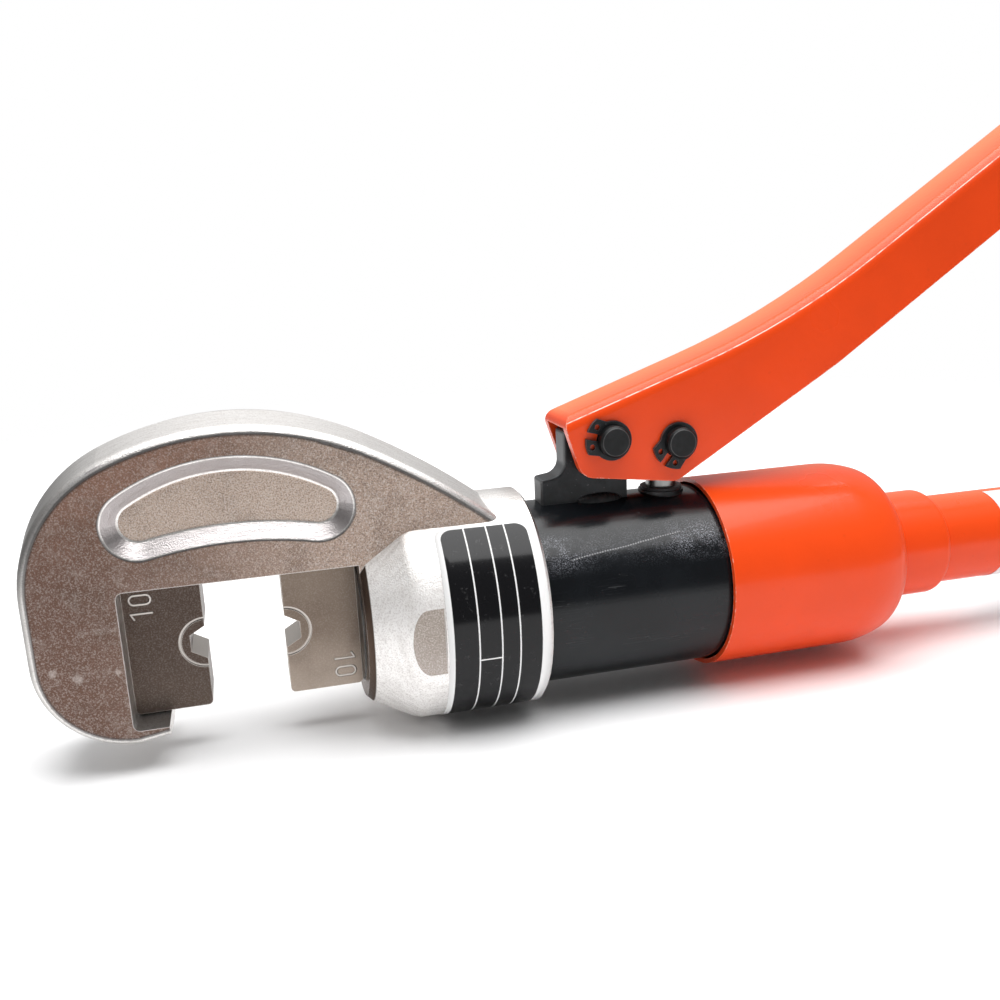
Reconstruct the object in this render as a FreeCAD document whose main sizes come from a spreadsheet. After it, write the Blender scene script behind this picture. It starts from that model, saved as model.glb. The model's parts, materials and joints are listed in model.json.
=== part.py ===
import FreeCAD, Part
import os
import re
from math import atan2, pi, sqrt
import Sketcher

# Hand-pumped hydraulic crimping tool, millimetres.
# The tool axis is X: the fixed die's face is at x = 0 and the handle runs towards +X.
# Z is up, the pump lever is above the barrel, and the near side of the tool looks towards -Y.

V = FreeCAD.Vector
DOC = FreeCAD.newDocument("crimping_tool")
PARTS = []

DIMENSIONS = [
    # C-shaped head
    ("head_thickness", 29.0, "width of the head across its side faces"),
    ("head_left", -39.8, "outer end of the head"),
    ("head_low", -22.0, "underside of the hook's round end"),
    ("heel_radius", 23.1, "round corner under the head"),
    ("crown_x", 9.5, "highest point of the crown along the axis"),
    ("crown_top", 54.2, "height of the crown"),
    ("crown_radius", 70.0, "long curve of the crown"),
    ("shoulder_angle", 24.0, "slope at which the tighter shoulder curve begins"),
    ("neck_slope", 27.0, "slope where the crown turns into the neck, degrees"),
    ("neck_radius", 172.0, "long curve of the neck"),
    ("root_slope", 41.3, "slope where the neck meets the collar, degrees"),
    ("forging_draft", 7.0, "draft of the forged rim, degrees"),
    ("head_edge", 2.5, "rounding between a side face and the rim"),
    ("jaw_top", 17.0, "ceiling of the jaw opening"),
    ("ledge_height", -16.7, "ledge of the hook under the fixed die"),
    ("hook_front", -9.9, "end of the hook"),
    ("hook_stock", 4.0, "length cut off the forged hook"),
    ("hook_tip_low", -20.3, "underside of the hook before that cut"),
    ("jaw_corner", 1.6, "inner corners of the jaw opening"),
    ("recess_depth", 3.0, "depth of the recess in each side face"),
    ("recess_taper", 51.0, "lean of the recess walls from square, degrees"),
    ("recess_x", 8.9, "middle of the recess along the axis"),
    ("recess_z", 32.1, "centre height of its round ends"),
    ("recess_half", 20.1, "from its middle to the centre of a round end"),
    ("recess_end", 8.1, "radius of its round ends"),
    ("recess_top", 45.9, "upper edge at its middle"),
    ("recess_bottom", 26.1, "lower edge at its middle"),
    ("recess_edge", 1.4, "rounded rim and floor of the recess"),
    # collar of the head
    ("collar_front", 36.9, "front face of the collar"),
    ("collar_rear", 80.6, "rear face of the collar"),
    ("collar_wall", 4.1, "wall of the collar round the barrel"),
    ("cone_radius", 22.3, "small end of the collar's cone"),
    ("cone_angle", 29.0, "slope of the collar's cone, degrees"),
    ("front_edge", 1.5, "chamfer round the collar's front face"),
    ("collar_blend", 2.0, "blend between cone and cylinder"),
    ("collar_edge", 0.8, "chamfer of the collar's rear edge"),
    ("spanner_depth", 1.2, "depth of the two spanner flats"),
    ("spanner_front", 45.5, "front end of the spanner flats"),
    ("spanner_length", 9.0, "spanner flats along the axis"),
    # dies
    ("die_depth", 17.8, "die along the axis"),
    ("die_height", 32.2, "die along Z"),
    ("die_width", 12.8, "die across the tool"),
    ("die_corner", 1.2, "rounded corners of a die"),
    ("die_gap", 18.7, "jaw opening between the dies at rest"),
    ("nest_radius", 4.1, "corner radius of the hexagonal crimp nest"),
    ("ring_radius", 6.3, "half ring marked round the nest"),
    ("ring_width", 0.6, "width of the ring's groove"),
    ("ring_depth", 0.35, "depth of the ring's groove"),
    ("tenon_length", 5.5, "tenon on the back of a die"),
    ("tenon_height", 10.0, "tenon along Z"),
    ("tenon_width", 8.0, "tenon across the tool"),
    ("catch_ball", 1.75, "radius of a die catch ball"),
    ("catch_spring", 3.2, "length of a die catch spring"),
    ("screw_sink", 0.8, "catch screws below the surface"),
    # ram
    ("ram_radius", 17.0, "ram rod"),
    ("piston_radius", 19.0, "ram piston"),
    ("piston_rear", 93.6, "rear end of the piston"),
    ("piston_length", 16.0, "piston along the axis"),
    ("spring_room", 12.0, "bore in the ram for the return spring"),
    ("ram_wall", 12.0, "solid front of the ram"),
    ("cap_length", 5.0, "ring that closes the ram behind the spring"),
    ("cap_radius", 14.5, "outside of that ring"),
    ("wear_groove", 2.0, "wear ring of the piston along the axis"),
    ("wear_depth", 1.2, "thickness of the wear ring"),
    ("seal_groove", 4.0, "piston seal along the axis"),
    ("seal_depth", 2.8, "thickness of the piston seal"),
    ("seal_offset", 6.2, "front of the seal's groove behind the piston's front"),
    ("rod_seal_front", 46.0, "front of the rod seal's groove in the head"),
    ("bolt_radius", 4.0, "shank of the spring bolt"),
    ("bolt_play", 0.3, "clearance of the ram's ring round that bolt"),
    ("bolt_head_radius", 10.0, "head of the spring bolt"),
    ("bolt_head_length", 4.0, "thickness of that head"),
    ("spring_outer", 11.2, "outside of the return spring"),
    ("spring_wire", 2.4, "wire of the return spring"),
    # barrel
    ("barrel_front", 54.6, "front end of the barrel, inside the collar"),
    ("barrel_radius", 24.0, "outside of the barrel"),
    ("cylinder_floor", 94.6, "closed end of the cylinder bore"),
    ("barrel_shoulder", 136.6, "rear end of the full-size barrel"),
    ("spigot_radius", 21.0, "threaded spigot behind the barrel"),
    ("spigot_length", 14.0, "spigot along the axis"),
    ("nose_radius", 17.5, "nose that carries the bladder"),
    ("nose_length", 10.0, "nose along the axis"),
    ("thread_depth", 12.0, "thread engagement of screws in the barrel"),
    # pump
    ("pump_x", 120.3, "axis of the pump plunger"),
    ("plunger_radius", 4.0, "pump plunger"),
    ("plunger_low", -2.0, "lower end of the plunger at rest"),
    ("chamber_low", -15.0, "floor of the pump chamber"),
    ("gland_radius", 6.0, "gland bush of the plunger"),
    ("gland_length", 8.4, "gland bush along Z"),
    ("gland_rise", 0.4, "top of the gland bush above the barrel"),
    ("seal_length", 3.0, "seal below the gland bush"),
    ("wiper_height", 0.8, "wiper ring on the gland bush"),
    ("head_block_length", 15.0, "plunger head along X"),
    ("head_block_width", 11.0, "plunger head across the tool"),
    ("head_block_drop", 6.9, "underside of the plunger head below its pin"),
    ("head_block_height", 13.8, "plunger head along Z"),
    ("slot_back", 1.65, "slot of the plunger head towards the pivot"),
    ("slot_ahead", 0.25, "slot of the plunger head away from the pivot"),
    ("slot_play", 0.15, "play of the pin in that slot"),
    # valves
    ("valve_line", -12.0, "height of the suction and delivery bores"),
    ("valve_bore", 3.0, "radius of the valve bores"),
    ("passage", 1.5, "radius of the oil passages"),
    ("ball_radius", 2.4, "valve balls"),
    ("relief_side", 10.0, "relief bore and pressure passage beside the axis"),
    ("relief_bore", 4.0, "radius of the relief bore"),
    ("relief_seat", 114.6, "seat of the relief valve"),
    ("relief_spring_length", 12.0, "spring of the relief valve"),
    ("relief_screw_length", 7.0, "setting screw of the relief valve"),
    ("suction_seat", 144.6, "seat of the suction valve"),
    ("suction_seat_length", 6.0, "hollow seat screw of the suction valve"),
    ("suction_spring_length", 6.0, "spring of the suction valve"),
    ("delivery_seat", 106.6, "seat of the delivery valve"),
    ("delivery_retainer_length", 3.6, "retainer of the delivery valve's spring"),
    ("release_cross", 132.2, "cross passage ahead of the release needle"),
    ("tank_cross", 139.4, "cross passage from the needle bore to the tank"),
    ("cross_plug", 3.5, "length of the plugs of the cross passages"),
    ("plug_radius", 2.4, "radius of those plugs"),
    ("plug_sink", 0.4, "plugs below the surface"),
    ("needle_seat", 134.4, "seat of the release needle"),
    ("needle_thread_front", 141.6, "front of the needle's thread"),
    ("needle_thread_length", 4.0, "needle's thread along the axis"),
    ("needle_seal_length", 2.4, "needle's seal along the axis"),
    ("needle_bore", 4.0, "radius of the needle bore"),
    ("needle_radius", 3.0, "release needle"),
    # bladder and stem tube
    ("stem_radius", 6.0, "tube that holds the bladder's tail"),
    ("stem_bore", 3.3, "bore of that tube"),
    ("stem_front", 148.6, "front end of the stem tube"),
    ("stem_rear", 192.6, "rear end of the stem tube"),
    ("bladder_wall", 1.8, "rubber of the bladder"),
    ("bladder_bulge", 20.6, "largest radius of the bladder"),
    ("clamp_wall", 1.0, "clamp bands of the bladder"),
    ("clamp_length", 5.0, "clamp bands along the axis"),
    ("bladder_tail", 181.6, "front of the bladder's tail on the stem tube"),
    ("bladder_rear", 190.4, "rear end of the bladder"),
    # reservoir cup
    ("cup_gap", 0.55, "gap between barrel and cup"),
    ("cup_wall", 1.2, "sheet of the cup"),
    ("cup_rim", 129.4, "open end of the cup"),
    ("cup_shoulder", 168.6, "end of the cup's cylinder"),
    ("dome_length", 15.5, "domed end of the cup along the axis"),
    ("dome_long_radius", 30.0, "long curve of the dome"),
    ("dome_turn", 20.0, "turn of that long curve, degrees"),
    ("boss_radius", 15.1, "boss between cup and tube"),
    ("boss_rear", 202.0, "rear end of the boss"),
    ("boss_round", 2.0, "rounded rear edge of the boss"),
    ("boss_wall_length", 6.0, "wall of the boss ahead of the tube"),
    ("nut_front", 138.6, "front of the nut ring in the cup"),
    ("nut_length", 10.0, "nut ring along the axis"),
    # fixed handle
    ("tube_radius", 12.8, "handle tube"),
    ("tube_wall", 1.5, "wall of the handle tube"),
    ("tool_rear", 361.0, "rear end of the fixed grip"),
    ("grip_front", 246.0, "front end of the fixed grip"),
    ("grip_radius", 15.6, "outside of the fixed grip"),
    ("grip_end_wall", 5.0, "closed end of the fixed grip"),
    ("grip_rib_step", 12.0, "distance between the grip's ribs"),
    ("grip_rib", 0.8, "height of a rib"),
    ("plug_front", 194.6, "front of the driving plug in the tube"),
    ("plug_length", 10.0, "driving plug along the axis"),
    ("square_size", 4.4, "square end of the release needle"),
    ("label_front", 222.0, "front edge of the tube's label"),
    ("label_length", 22.0, "label along the tube"),
    # lever bracket
    ("bracket_width", 7.0, "bracket across the tool"),
    ("foot_front", 85.9, "front end of the bracket's foot"),
    ("bracket_rear", 109.3, "rear face of the bracket"),
    ("foot_height", 6.4, "top of the foot above the barrel"),
    ("foot_slope", 8.0, "slope of the foot's top, degrees"),
    ("upright_front", 92.2, "front face of the upright"),
    ("foot_fillet", 3.6, "hollow corner between foot and upright"),
    ("bracket_edge", 0.8, "rounding of the bracket's front edges"),
    ("weld_size", 1.9, "height of a weld bead"),
    ("weld_half", 6.0, "half length of a weld bead"),
    ("weld_x", 101.5, "middle of the weld beads along the axis"),
    # lever
    ("pivot_x", 103.1, "lever pivot along the axis"),
    ("pivot_rise", 16.3, "lever pivot above the barrel"),
    ("pin_radius", 4.0, "lever pins"),
    ("pin_half", 12.5, "half length of the pins"),
    ("pin_edge", 0.5, "chamfer of the pin ends"),
    ("arm_length", 18.2, "from the pivot to the plunger pin"),
    ("arm_angle", 6.0, "how far the plunger pin lies below the pivot, degrees"),
    ("lever_half", 9.0, "half width of the lever channel"),
    ("sheet", 2.5, "sheet of the lever"),
    ("web_gap", 9.8, "from the pivot to the outside of the web"),
    ("web_slope", 19.0, "slope of the web over the pivot, degrees"),
    ("grip_slope", 33.7, "slope of the lever behind its bend, degrees"),
    ("bend_x", 153.2, "corner of the web's bend along the axis"),
    ("bend_radius", 215.0, "curve of the web at the bend"),
    ("cheek_depth", 18.2, "depth of the channel at the bend"),
    ("end_depth", 16.2, "depth of the channel at its end"),
    ("cheek_break", 4.4, "where the cheeks' lower edge straightens, from the bend along the lever"),
    ("lever_nose", 90.4, "front end of the web"),
    ("cheek_drop", 10.0, "cheek's lower edge below the pivot"),
    ("cheek_low_slope", 7.6, "slope of that lower edge, degrees"),
    ("cheek_front_x", 95.2, "front lower corner of the cheek"),
    ("cheek_rear_x", 121.0, "rear lower corner of the cheek"),
    ("cheek_round", 4.5, "rounded lower corners of the cheeks"),
    ("web_edge", 3.4, "outer bend of the lever's sheet"),
    ("lever_length", 234.0, "lever from its bend to its end"),
    ("lever_grip_length", 108.0, "rubber grip of the lever"),
    ("lever_grip_wall", 2.6, "rubber over the lever"),
    ("lever_grip_edge", 5.0, "rounded edges of the rubber grip"),
    ("open_angle", 10.0, "lever travel from rest to its opening stop, degrees"),
    ("stop_gap", 0.3, "gap left at that stop"),
    # circlips
    ("clip_thickness", 0.95, "thickness of a circlip"),
    ("clip_radius", 5.1, "outside of a circlip"),
    ("clip_groove", 3.5, "groove in the pin"),
    ("clip_ear", 7.1, "reach of the circlip's ears"),
    ("clip_root_angle", 60.0, "where the ears leave the ring, degrees"),
    ("clip_ear_angle", 41.0, "outer corner of an ear, degrees"),
    ("pivot_clip_turn", 165.0, "where the pivot's circlips open, degrees"),
    ("plunger_clip_turn", 231.0, "where the plunger pin's circlips open, degrees"),
    ("clip_split", 0.9, "half gap between the ears"),
    ("clip_hole", 0.75, "holes in the ears"),
    ("clip_hole_at", 5.5, "holes from the pin's axis"),
    ("clip_hole_angle", 28.0, "holes beside the ears' middle, degrees"),
    # clearances
    ("running_fit", 0.05, "radial clearance of sliding and turning fits"),
    ("pocket_fit", 0.1, "clearance of a die tenon in its pocket"),
    ("film", 0.15, "thickness of the labels"),
    ("glue", 0.02, "glue under the labels"),
    ("band_length", 25.0, "label of the collar along the axis"),
    ("band_start", 32.5, "upper edge of that label, degrees from the top"),
    ("band_sweep", 132.5, "that label round the collar, degrees"),
    ("tube_label_start", 5.0, "upper edge of the tube's label, degrees from the top"),
    ("tube_label_sweep", 240.0, "tube's label round the tube, degrees"),
]


def make_sheet():
    """Put every driving dimension into a spreadsheet cell with an alias."""
    sheet = DOC.addObject("Spreadsheet::Sheet", "Sizes")
    for row, (alias, size, note) in enumerate(DIMENSIONS, start=1):
        sheet.set(f"A{row}", alias)
        sheet.set(f"B{row}", str(size))
        sheet.set(f"C{row}", note)
        sheet.setAlias(f"B{row}", alias)
    DOC.recompute()
    return sheet


SHEET = make_sheet()

# Sizes that follow from others. A rule may use the names listed after it.
DERIVED = {
    "head_block_low": "(pin_z - head_block_drop)",
    "pin_x": "(pivot_x + arm_length*cos(arm_angle))",
    "pin_z": "(pivot_z - arm_length*sin(arm_angle))",
    "cheek_low": "(pivot_z - cheek_drop)",
    "pivot_z": "(barrel_radius + pivot_rise)",
    "foot_top": "(barrel_radius + foot_height)",
    "gland_top": "(barrel_radius + gland_rise)",
    "collar_radius": "(barrel_radius + collar_wall)",
    "cup_radius": "(cup_inner + cup_wall)",
    "cup_inner": "(barrel_radius + cup_gap)",
}


def bound(expression):
    """Write derived sizes out and name the sheet before each size in an expression."""
    for name, rule in DERIVED.items():
        expression = re.sub(rf"\b{name}\b", rule, str(expression))
    return re.sub(r"\b(?!(?:sin|cos|tan|sqrt)\b)([a-z][a-z_]+)", r"Sizes.\1", str(expression))


def value(expression):
    """Work an expression out from the sheet."""
    return float(SHEET.evalExpression(bound(expression)))


def bind(thing, field, expression):
    """Tie one property to the sheet."""
    thing.setExpression(field, bound(expression))


def new_body(name, place=("0", "0", "0")):
    """Start a sub-part at a place that follows the sheet."""
    body = DOC.addObject("PartDesign::Body", name)
    body.Label = name
    for axis, expression in zip("xyz", place):
        bind(body, f"Placement.Base.{axis}", expression)
    PARTS.append(body)
    return body


def origin_plane(body, role):
    return [f for f in body.Origin.OriginFeatures if f.Role == role][0]


def arc_between(start, end, radius, turn):
    """The short arc from start to end that turns left or right, always stored counter-clockwise."""
    half = (end - start) * 0.5
    rise = sqrt(max(radius ** 2 - half.Length ** 2, 0))
    across = V(-half.y, half.x, 0).normalize()
    centre = start + half + across * (rise if turn == "left" else -rise)
    first, last = (start, end) if turn == "left" else (end, start)
    low = atan2(first.y - centre.y, first.x - centre.x)
    high = atan2(last.y - centre.y, last.x - centre.x)
    if high < low:
        high += 2 * pi
    return Part.ArcOfCircle(Part.Circle(centre, V(0, 0, 1), radius), low, high)


def draw(sketch, outline):
    """Draw a closed outline of (x, y) or (x, y, radius, turn) corners, each tied to the sheet.

    A corner with a radius starts an arc to the next corner.
    """
    corners = [V(value(c[0]), value(c[1]), 0) for c in outline]
    ends = []
    first = sketch.GeometryCount
    for i, corner in enumerate(outline):
        start, end = corners[i], corners[(i + 1) % len(corners)]
        if len(corner) == 2:
            sketch.addGeometry(Part.LineSegment(start, end), False)
            ends.append((1, 2))
        else:
            sketch.addGeometry(arc_between(start, end, value(corner[2]), corner[3]), False)
            ends.append((1, 2) if corner[3] == "left" else (2, 1))
    for i, corner in enumerate(outline):
        after = (i + 1) % len(outline)
        sketch.addConstraint(Sketcher.Constraint(
            "Coincident", first + i, ends[i][1], first + after, ends[after][0]))
        for kind, size, number in (("DistanceX", corner[0], corners[i].x),
                                   ("DistanceY", corner[1], corners[i].y)):
            index = sketch.addConstraint(Sketcher.Constraint(
                kind, -1, 1, first + i, ends[i][0], number))
            sketch.setExpression(f"Constraints[{index}]", bound(size))
        if len(corner) > 2:
            index = sketch.addConstraint(Sketcher.Constraint("Radius", first + i, value(corner[2])))
            sketch.setExpression(f"Constraints[{index}]", bound(corner[2]))


def draw_circle(sketch, centre, radius):
    """Draw one circle tied to the sheet."""
    x, y = (value(c) for c in centre)
    index = sketch.addGeometry(Part.Circle(V(x, y, 0), V(0, 0, 1), value(radius)), False)
    for kind, size, number in (("DistanceX", centre[0], x), ("DistanceY", centre[1], y)):
        row = sketch.addConstraint(Sketcher.Constraint(kind, -1, 1, index, 3, number))
        sketch.setExpression(f"Constraints[{row}]", bound(size))
    row = sketch.addConstraint(Sketcher.Constraint("Radius", index, value(radius)))
    sketch.setExpression(f"Constraints[{row}]", bound(radius))


def new_sketch(body, name, plane, outlines, circles=()):
    sketch = body.newObject("Sketcher::SketchObject", name)
    sketch.AttachmentSupport = [(origin_plane(body, plane), "")]
    sketch.MapMode = "FlatFace"
    for outline in outlines:
        draw(sketch, outline)
    for centre, radius in circles:
        draw_circle(sketch, centre, radius)
    return sketch


def extrude(body, kind, name, outlines, length, plane="XZ_Plane", circles=(), taper=None, both=True):
    """Pad or Pocket an outline, to both sides of its plane or from it."""
    feature = body.newObject(f"PartDesign::{kind}", name)
    feature.Profile = new_sketch(body, f"{name}_outline", plane, outlines, circles)
    if both:
        feature.SideType = "Symmetric"
    bind(feature, "Length", length)
    if taper:
        bind(feature, "TaperAngle", taper)
        bind(feature, "TaperAngle2", taper)
    return feature


# A turned piece's profile is drawn along its axis: (along, radius) for X, (radius, along) for Y and Z.
TURNING = {"X": ("XZ_Plane", "H_Axis"), "Y": ("XY_Plane", "V_Axis"), "Z": ("XZ_Plane", "V_Axis")}


def turn(body, name, axis, profile, cut=False, angle=None):
    """Revolve a profile, as added material or as a groove, by a full turn or an angle."""
    plane, edge = TURNING[axis]
    feature = body.newObject("PartDesign::Groove" if cut else "PartDesign::Revolution", name)
    feature.Profile = new_sketch(body, f"{name}_profile", plane, [profile])
    feature.ReferenceAxis = (feature.Profile[0], [edge])
    if angle:
        bind(feature, "Angle", angle)


def turned(name, axis, profile, place=("0", "0", "0")):
    """A piece that is one revolved profile."""
    body = new_body(name, place)
    turn(body, "turned", axis, profile)
    return body


def ring(along, length, inner, outer):
    """Profile of a plain ring on the X axis."""
    return [(along, inner), (f"{along} + {length}", inner),
            (f"{along} + {length}", outer), (along, outer)]


def disc(along, length, radius):
    """Profile of a plain round on the X axis."""
    return ring(along, length, "0", radius)


DIRECTIONS = {"+X": (V(0, 1, 0), 90), "-X": (V(0, 1, 0), -90), "+Y": (V(1, 0, 0), -90),
              "-Y": (V(1, 0, 0), 90), "+Z": (V(0, 0, 1), 0), "-Z": (V(1, 0, 0), 180)}


def drill(body, name, radius, start, direction, depth):
    """Bore a round hole from a start point along one direction."""
    hole = body.newObject("PartDesign::SubtractiveCylinder", name)
    hole.Placement = FreeCAD.Placement(V(0, 0, 0), FreeCAD.Rotation(*DIRECTIONS[direction]))
    for axis, expression in zip("xyz", start):
        bind(hole, f"Placement.Base.{axis}", expression)
    bind(hole, "Radius", radius)
    bind(hole, "Height", depth)


def mill(body, name, size, corner, kind="Subtractive"):
    """Cut a rectangular pocket, or add a block, from its lowest corner."""
    block = body.newObject(f"PartDesign::{kind}Box", name)
    for field, expression in zip(("Length", "Width", "Height"), size):
        bind(block, field, expression)
    for axis, expression in zip("xyz", corner):
        bind(block, f"Placement.Base.{axis}", expression)


def round_edges(body, name, radius, wanted, kind="Fillet"):
    """Fillet or chamfer the edges of the last feature for which wanted(edge) is true."""
    DOC.recompute()
    base = body.Tip
    names = [f"Edge{i}" for i, edge in enumerate(base.Shape.Edges, start=1) if wanted(edge)]
    feature = body.newObject(f"PartDesign::{kind}", name)
    feature.Base = (base, names)
    bind(feature, "Radius" if kind == "Fillet" else "Size", radius)


def near(a, b, slack=1e-4):
    return abs(a - b) < slack


def ball(name, radius, place):
    """A loose steel ball."""
    sphere = DOC.addObject("Part::Sphere", name)
    sphere.Label = name
    bind(sphere, "Radius", radius)
    for axis, expression in zip("xyz", place):
        bind(sphere, f"Placement.Base.{axis}", expression)
    PARTS.append(sphere)


# Places that several pieces share, as expressions of the sheet's sizes.
DIE_BACK = "-die_depth"
RAM_FACE = "(die_gap + die_depth)"
PISTON_FRONT = "(piston_rear - piston_length)"
CAP_FRONT = "(piston_rear - cap_length)"
ROD_BORE = "(ram_radius + running_fit)"
CYLINDER = "(piston_radius + running_fit)"
SPIGOT_REAR = "(barrel_shoulder + spigot_length)"
NOSE_REAR = "(barrel_shoulder + spigot_length + nose_length)"
DOME_REAR = "(cup_shoulder + dome_length)"
TUBE_SEAT = f"({DOME_REAR} + boss_wall_length)"
BALL_SIT = "sqrt(ball_radius^2 - passage^2)"
CATCH_AT = "tenon_length*0.5"


def head_outline():
    """Crown, shoulder, heel and hook of the head as seen from its side, in the parting plane."""
    shoulder_x = "(crown_x - crown_radius*sin(shoulder_angle))"
    shoulder_z = "(crown_top - crown_radius*(1 - cos(shoulder_angle)))"
    shoulder_radius = f"(({shoulder_x} - head_left)/(1 - sin(shoulder_angle)))"
    neck_x = "(crown_x + crown_radius*sin(neck_slope))"
    neck_z = "(crown_top - crown_radius*(1 - cos(neck_slope)))"
    root_x = f"({neck_x} + neck_radius*(sin(root_slope) - sin(neck_slope)))"
    root_z = f"({neck_z} - neck_radius*(cos(neck_slope) - cos(root_slope)))"
    return [
        ("head_left", "head_low + heel_radius"),
        ("head_left", f"{shoulder_z} - {shoulder_radius}*cos(shoulder_angle)", shoulder_radius, "right"),
        (shoulder_x, shoulder_z, "crown_radius", "right"),
        ("crown_x", "crown_top", "crown_radius", "right"),
        (neck_x, neck_z, "neck_radius", "right"),
        (root_x, root_z),
        (root_x, "head_low*0.5"),
        ("hook_front + hook_stock", "head_low*0.5"),
        ("hook_front + hook_stock", "hook_tip_low"),
        ("head_left + heel_radius", "head_low", "heel_radius", "right"),
    ]


def collar_profile():
    """Half section of the collar, solid to the axis."""
    cone_front = "(collar_front + front_edge)"
    cone_rear = f"({cone_front} + (collar_radius - cone_radius)/tan(cone_angle))"
    blend = "(collar_blend/tan(cone_angle*0.5))"
    return [
        ("collar_front", "0"),
        ("collar_front", "cone_radius - front_edge"),
        (cone_front, "cone_radius"),
        (f"{cone_rear} - collar_blend*cos(cone_angle)", "collar_radius - collar_blend*sin(cone_angle)",
         blend, "right"),
        (f"{cone_rear} + collar_blend", "collar_radius"),
        ("collar_rear - collar_edge", "collar_radius"),
        ("collar_rear", "collar_radius - collar_edge"),
        ("collar_rear", "0"),
    ]


def recess_outline():
    """Bean-shaped recess: two round ends joined by tangent arcs above and below."""
    rise = "(recess_top - recess_z)"
    drop = "(recess_z - recess_bottom)"
    upper = f"((recess_half^2 + {rise}^2 - recess_end^2)/(2*({rise} - recess_end)))"
    lower = f"((recess_half^2 + {drop}^2 - recess_end^2)/(2*(recess_end - {drop})))"
    out_x = f"recess_end*recess_half/({upper} - recess_end)"
    out_z = f"recess_end*({upper} - {rise})/({upper} - recess_end)"
    low_x = f"recess_end*recess_half/({lower} + recess_end)"
    low_z = f"recess_end*({lower} + {drop})/({lower} + recess_end)"
    return [
        (f"recess_x - recess_half - {out_x}", f"recess_z + {out_z}", upper, "right"),
        (f"recess_x + recess_half + {out_x}", f"recess_z + {out_z}", "recess_end", "right"),
        ("recess_x + recess_half + recess_end", "recess_z", "recess_end", "right"),
        (f"recess_x + recess_half - {low_x}", f"recess_z - {low_z}", lower, "left"),
        (f"recess_x - recess_half + {low_x}", f"recess_z - {low_z}", "recess_end", "right"),
        ("recess_x - recess_half - recess_end", "recess_z", "recess_end", "right"),
    ]


def c_head():
    """Forged C-shaped head with its collar, jaw opening, die pocket, recesses and ram bore."""
    body = new_body("c_head")
    extrude(body, "Pad", "forging", [head_outline()], "head_thickness", taper="-forging_draft")
    half = value("head_thickness") / 2
    round_edges(body, "forged_edges", "head_edge",
                lambda edge: all(near(abs(v.Point.y), half) for v in edge.Vertexes))
    for side, sign in (("near", 1), ("far", -1)):
        recess = extrude(body, "Pocket", f"{side}_recess", [recess_outline()], "recess_depth",
                         taper="-recess_taper", both=False)
        bind(recess.Profile[0], "AttachmentOffset.Base.z", f"{sign}*head_thickness/2")
        recess.Reversed = sign < 0
    floor = half - value("recess_depth")
    left, right = (value(f"recess_x {sign} (recess_half + recess_end)") for sign in "-+")
    low, high = value("recess_z - recess_end"), value("recess_top")
    round_edges(body, "recess_rims", "recess_edge", lambda edge: (
        all(near(abs(v.Point.y), half) for v in edge.Vertexes)
        and edge.BoundBox.ZMin > low - 0.1 and edge.BoundBox.ZMax < high + 0.1
        and edge.BoundBox.XMin > left - 0.1 and edge.BoundBox.XMax < right + 0.1))
    round_edges(body, "recess_floors", "recess_edge", lambda edge: (
        all(near(abs(v.Point.y), floor) for v in edge.Vertexes)))
    turn(body, "collar", "X", collar_profile())
    extrude(body, "Pocket", "jaw", [[
        (DIE_BACK, "ledge_height"), (DIE_BACK, "jaw_top"), ("collar_front", "jaw_top"),
        ("collar_front", "head_low*2"), ("hook_front", "head_low*2"), ("hook_front", "ledge_height")]],
        "head_thickness*2")
    wall = value(DIE_BACK)
    round_edges(body, "jaw_corners", "jaw_corner", lambda edge: (
        near(edge.BoundBox.XMin, wall) and near(edge.BoundBox.XMax, wall)
        and edge.BoundBox.ZLength < 0.01 and edge.Length > half))
    turn(body, "ram_bore", "X", [
        ("collar_front - 1", "0"), ("collar_front - 1", ROD_BORE), ("rod_seal_front", ROD_BORE),
        ("rod_seal_front", f"{ROD_BORE} + seal_depth"),
        ("rod_seal_front + seal_groove", f"{ROD_BORE} + seal_depth"),
        ("rod_seal_front + seal_groove", ROD_BORE), ("barrel_front", ROD_BORE),
        ("barrel_front", "barrel_radius"), ("collar_rear + 1", "barrel_radius"),
        ("collar_rear + 1", "0")], cut=True)
    mill(body, "die_pocket",
         ("tenon_length + pocket_fit", "tenon_width + 2*pocket_fit", "tenon_height + 2*pocket_fit"),
         (f"{DIE_BACK} - tenon_length - pocket_fit", "-tenon_width/2 - pocket_fit",
          "-tenon_height/2 - pocket_fit"))
    drill(body, "catch_bore", "catch_ball + running_fit",
          (f"{DIE_BACK} - {CATCH_AT}", "head_thickness/2 + 1", "0"), "-Y",
          "head_thickness/2 + 1 - tenon_width/2")
    for side, corner in (("near", "-collar_radius - 1"), ("far", "collar_radius - spanner_depth")):
        mill(body, f"{side}_flat",
             ("spanner_length", "spanner_depth + 1", "collar_radius"),
             ("spanner_front", corner, "-collar_radius/2"))


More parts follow.
